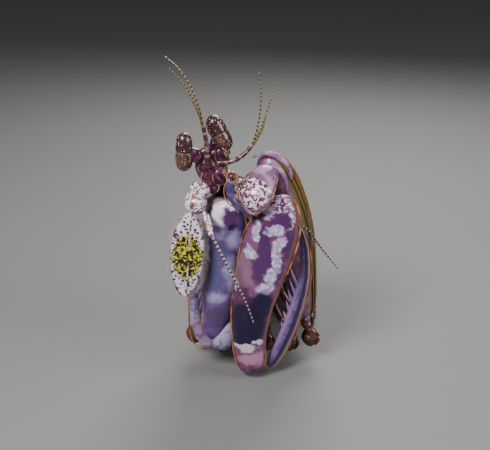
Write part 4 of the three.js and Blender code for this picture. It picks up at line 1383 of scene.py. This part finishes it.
MOUTH_ARM += [(0.53, 1.0, 0.95), (0.8, 1.0, 0.9), (0.96, 0.75, 0.7), (1, 0.4, 0.4)]
DISC = [
    (0, 0.3, 0.3), (0.04, 0.9, 0.6), (0.14, 1.55, 0.85), (0.35, 2.2, 1.12), (0.6, 2.25, 1.12),
    (0.82, 1.6, 0.9), (0.95, 0.8, 0.55), (1, 0.25, 0.25),
]
PALM_STEPS = [(-0.2, 0, 2.7), (0, -0.15, 0), (0.2, 0, -2.7)]
HOOK_STEPS = [(1.1, -0.2, -2.0), (2.3, -0.6, -0.9), (2.2, -0.9, 0.6), (1.6, -1.0, 1.7)]
HOOK_PROFILE = [(0, 0.5, 0.45), (0.1, 0.68, 0.6), (0.5, 0.5, 0.45), (0.85, 0.26, 0.24), (1, 0.06, 0.06)]
for name, (arm, palm) in MOUTH_LIMBS.items():
    palm = Vector(palm)
    pieces = [limb(name, arm, MOUTH_ARM, TO_LEFT, 14)]
    wrist_start = Vector(arm[2]) + Vector((0, 0, 0.8))
    wrist_line = [wrist_start, palm + Vector((0, 0, 1.4))]
    pieces.append(segment("mouth_wrist", wrist_line, 1.2, 1.0, TO_LEFT, 12))
    disc_line = [palm + Vector(step) for step in PALM_STEPS]
    pieces.append(limb("mouth_palm", disc_line, DISC, TO_LEFT, 18))
    hook = [palm + Vector(step) for step in HOOK_STEPS]
    pieces.append(limb("mouth_hook", hook, HOOK_PROFILE, TO_FRONT, 10))
    settle(joined(name, pieces), limb_finish, [name])
print("mouth limbs made")

# %% [markdown]
# Three pairs of slender walking legs stand under the bend of the body, each with a side branch.
# %% Walking legs
LEG_THIGH = [
    (0, 0.9, 0.8), (0.08, 1.35, 1.2), (0.35, 1.5, 1.3), (0.7, 1.3, 1.1), (0.94, 1.05, 0.95),
    (1, 0.6, 0.55),
]
LEG_SHIN = [(0, 0.55, 0.55), (0.06, 0.9, 0.85), (0.3, 1.0, 0.8), (0.62, 0.8, 0.65), (0.66, 0.62, 0.55)]
LEG_SHIN += [(0.7, 0.75, 0.62), (0.97, 0.5, 0.42), (1, 0.35, 0.3)]
LEG_BRANCH = [(0, 0.45, 0.45), (0.1, 0.58, 0.55), (0.6, 0.45, 0.4), (0.95, 0.28, 0.26), (1, 0.12, 0.12)]
FLOOR_LIFT = 0.35
FIRST_LEG, LEG_SPACING, LEG_MIDDLE = 12.2, 4.4, 4
for index in range(3):
    for side, s in (("left", 1), ("right", -1)):
        y = FIRST_LEG + LEG_SPACING * index
        high = 13.6 - 2.6 * index
        hip = Vector((LEG_MIDDLE + 5 * s, y, high - 3.4))
        knee = Vector((LEG_MIDDLE + 12 * s, y - 0.8, 7.4))
        foot = Vector((LEG_MIDDLE + (14 + 0.8 * index) * s, y - 1.6, FLOOR_LIFT))
        name = f"leg_{index + 1}_{side}"
        forward = Vector((0, 1, 0))
        thigh_line = [hip, hip.lerp(knee, 0.5) + Vector((0, 0, 0.8)), knee]
        pieces = [limb(name, thigh_line, LEG_THIGH, forward, 14)]
        shin_line = [knee, knee.lerp(foot, 0.5) + Vector((0.8 * s, 0, 0.4)), foot]
        pieces.append(limb("leg_shin", shin_line, LEG_SHIN, forward, 12))
        steps = ((-1.2 * s, 0.3, 0), (-1.6 * s, 1.2, -3), (-1.4 * s, 1.6, -6))
        branch_line = [knee + Vector(step) for step in steps]
        pieces.append(limb("leg_branch", branch_line, LEG_BRANCH, forward, 10))
        settle(joined(name, pieces), limb_finish, [name])
print("legs made")

# %% [markdown]
# Five pairs of swimming limbs lie along the belly: each is a soft leaf on a stem, fringed with hair.
# %% Swimming limbs
leaf_finish = Finish("soft leaf", roughness=0.4, coat=0.25)
leaf_veins = leaf_finish.noise(1.2, 3, where=leaf_finish.warped(2.0, 1.2)).step(0.45, 0.6)
leaf_finish.colour(leaf_finish.mix(leaf_veins, (0.34, 0.20, 0.17), (0.16, 0.06, 0.06)))
LEAF = [
    (0, 1.2, 0.4), (0.04, 1.9, 0.55), (0.25, 3.3, 0.6), (0.5, 3.75, 0.6), (0.75, 3.5, 0.5),
    (0.94, 2.3, 0.4), (1, 1.0, 0.3),
]


def on_body(start):
    return on_curve(BODY_LINE, start / BODY_LENGTH)[0]


def leaf_edge(rings):
    near = [centre + turn.col[0] * wide * 0.93 for centre, turn, wide, high in rings]
    far = [centre - turn.col[0] * wide * 0.93 for centre, turn, wide, high in rings]
    return near + far[::-1]


for index in range(5):
    for side, s in (("left", 1), ("right", -1)):
        middle = on_body(ABDOMEN_STARTS[index] + 2)
        x, y = middle.x + 5.4 * s, middle.y
        name = f"pleopod_{index + 1}_{side}"
        stem_line = [(x, y, middle.z - 2), (x, y + 0.6, middle.z / 2), (x, y + 1.2, 3.2)]
        stem = segment(name, stem_line, 2.2, 1.1)
        leaf_line = [(x, y + 0.2, 3.4), (x + 0.4 * s, y + 3.4, 1.7), (x + 0.6 * s, y + 7.6, 0.75)]
        rings = rings_on(leaf_line, LEAF, RIGHTWARD)
        leaf = pull_shell("leaf", rings, 18)
        settle(joined(name, [stem, leaf]), leaf_finish, [name])
        hairs = fringe(f"pleopod_fringe_{index + 1}_{side}", leaf_edge(rings[1:]), 1.3, 0.06, 0.3)
        settle(hairs, hair_finish)
print("swimming limbs made")

# %% [markdown]
# The tail plate is broad and low, with a raised boss and ridges and a toothed rear edge.
# Jointed paddles stand at both sides of it, fringed with hair, with a row of spines outside.
# %% Tail fan
TAIL_START, TAIL_END = Vector((0.95, 83, 6.5)), Vector((-0.6, 99.4, 3.2))
TAIL = [
    (0, 7.4, 1.9), (0.015, 8.4, 2.4), (0.2, 10, 2.6), (0.5, 10.4, 2.2), (0.8, 9.4, 1.5),
    (0.96, 7.9, 0.85), (1, 7.2, 0.5),
]
BOSS_LINE = [(0.8, 85, 8.1), (0.4, 89.5, 7.9), (0, 94.4, 6)]
BOSS = [(0, 0.5, 0.4), (0.1, 1.6, 1.1), (0.4, 2.3, 1.4), (0.8, 1.4, 0.9), (1, 0.2, 0.2)]
tail_rings = rings_on([TAIL_START, TAIL_START.lerp(TAIL_END, 0.5), TAIL_END], TAIL, RIGHTWARD)
tail_plate = pull_shell("telson", tail_rings, 40)
tail = [tail_plate, limb("tail_boss", BOSS_LINE, BOSS, sides=16)]
for offset in (-0.8, -0.55, -0.3, 0.3, 0.55, 0.8):
    line = []
    for centre, turn, wide, high in tail_rings[1:-1]:
        lift = high * math.sqrt(1 - offset**2) * 0.98
        upward = 1 if turn.col[1].z > 0 else -1
        line.append(centre + turn.col[0] * wide * offset + turn.col[1] * lift * upward)
    tail.append(bead("tail_ridge", line, 0.26, steps=14, sides=8))
for x in (-6.6, -4, -1.4, 1.4, 4, 6.6):
    root = (-0.5 + x, 98.6 - 0.02 * x * x, 3.2)
    tail.append(spike("tail_spine", root, (x * 0.06, 1, -0.2), 2.5, 0.8, sides=10))
for x in (-9.4, 9.4):
    tail.append(spike("tail_corner", (x, 95, 3.8), (x * 0.05, 1, -0.2), 3.1, 0.9, sides=10))
settle(joined("telson", tail), shell_finish, ["telson"])


# %% [markdown]
# Each paddle is a flat shell. The outer one also carries a row of spines.
# %% Paddles
def paddle(name, line, profile, spines=()):
    rings = rings_on(line, profile, RIGHTWARD)
    shell = pull_shell(name, rings, 20)
    row = [spike("fan_spine", *spine, sides=8) for spine in spines]
    return joined(name, [shell, *row]), rings


OUTER_PADDLE = [(0, 1.3, 0.8), (0.03, 1.8, 1.0), (0.2, 2.6, 1.0), (0.45, 3.05, 0.85), (0.5, 2.8, 0.7)]
OUTER_PADDLE += [(0.55, 3.1, 0.8), (0.8, 2.6, 0.6), (0.96, 1.5, 0.45), (1, 0.7, 0.3)]
INNER_PADDLE = [
    (0, 0.9, 0.6), (0.04, 1.3, 0.8), (0.3, 1.9, 0.7), (0.7, 1.7, 0.6), (0.95, 0.95, 0.45),
    (1, 0.4, 0.3),
]
for side, s in (("left", 1), ("right", -1)):
    stem_line = [(1.1 + 8.6 * s, 82, 3.6), (1 + 11.6 * s, 86.5, 2.6)]
    stem = segment(f"uropod_{side}", stem_line, 2.6, 1.5, RIGHTWARD, 16)
    spines = []
    for i in range(5):
        root = (1 + (15.8 + 0.62 * i) * s, 89 + 1.9 * i, 1.9 - 0.2 * i)
        spines.append((root, (0.7 * s, 1, -0.1), 2.0, 0.45))
    outer_line = [(1 + 12 * s, 85, 2.5), (0.8 + 15 * s, 92, 1.5), (0.5 + 16.2 * s, 100, 0.75)]
    inner_line = [(1 + 11 * s, 86, 1.8), (0.8 + 11.4 * s, 91, 1.2), (0.6 + 11.2 * s, 97, 0.75)]
    outer, outer_rings = paddle("outer_paddle", outer_line, OUTER_PADDLE, spines)
    inner, inner_rings = paddle("inner_paddle", inner_line, INNER_PADDLE)
    settle(joined(f"uropod_{side}", [stem, outer, inner]), shell_finish, [f"uropod_{side}"])
    for part, rings in (("outer", outer_rings), ("inner", inner_rings)):
        hairs = fringe(f"fan_fringe_{part}_{side}", leaf_edge(rings[2:]), 1.1, 0.06, 0.26)
        settle(hairs, hair_finish)
print("tail fan made")

# %% [markdown]
# A plain pale floor, soft lamps and a pale world finish the stage.
# %% Floor, lamps and world
bpy.ops.object.select_all(action="DESELECT")
bpy.ops.mesh.primitive_plane_add(size=4.0, location=(0, 0, 0))
floor = bpy.context.object
floor.name = "floor"
floor_finish = bpy.data.materials.new("pale floor")
floor_finish.use_nodes = True
floor_shader = floor_finish.node_tree.nodes["Principled BSDF"]
floor_shader.inputs["Base Color"].default_value = (0.15, 0.147, 0.143, 1)
floor_shader.inputs["Roughness"].default_value = 0.7
floor.data.materials.append(floor_finish)


LAMP_TARGET = (0, 0, 30)


def lamp(name, place, size, power):
    start = in_metres(place)
    way = in_metres(LAMP_TARGET) - start
    turn = way.to_track_quat("-Z", "Y").to_euler()
    bpy.ops.object.light_add(type="AREA", location=start, rotation=turn)
    light = bpy.context.object
    light.name = name
    light.data.size = size * MM
    light.data.energy = power


lamp("key lamp", (-140, -220, 260), 120, 2.0)
lamp("side lamp", (240, -120, 160), 160, 0.7)
lamp("back lamp", (60, 240, 240), 180, 1.2)
world = bpy.data.worlds.new("pale room")
bpy.context.scene.world = world
world.use_nodes = True
world.node_tree.nodes["Background"].inputs["Color"].default_value = (0.9, 0.93, 1.0, 1)
world.node_tree.nodes["Background"].inputs["Strength"].default_value = 0.12
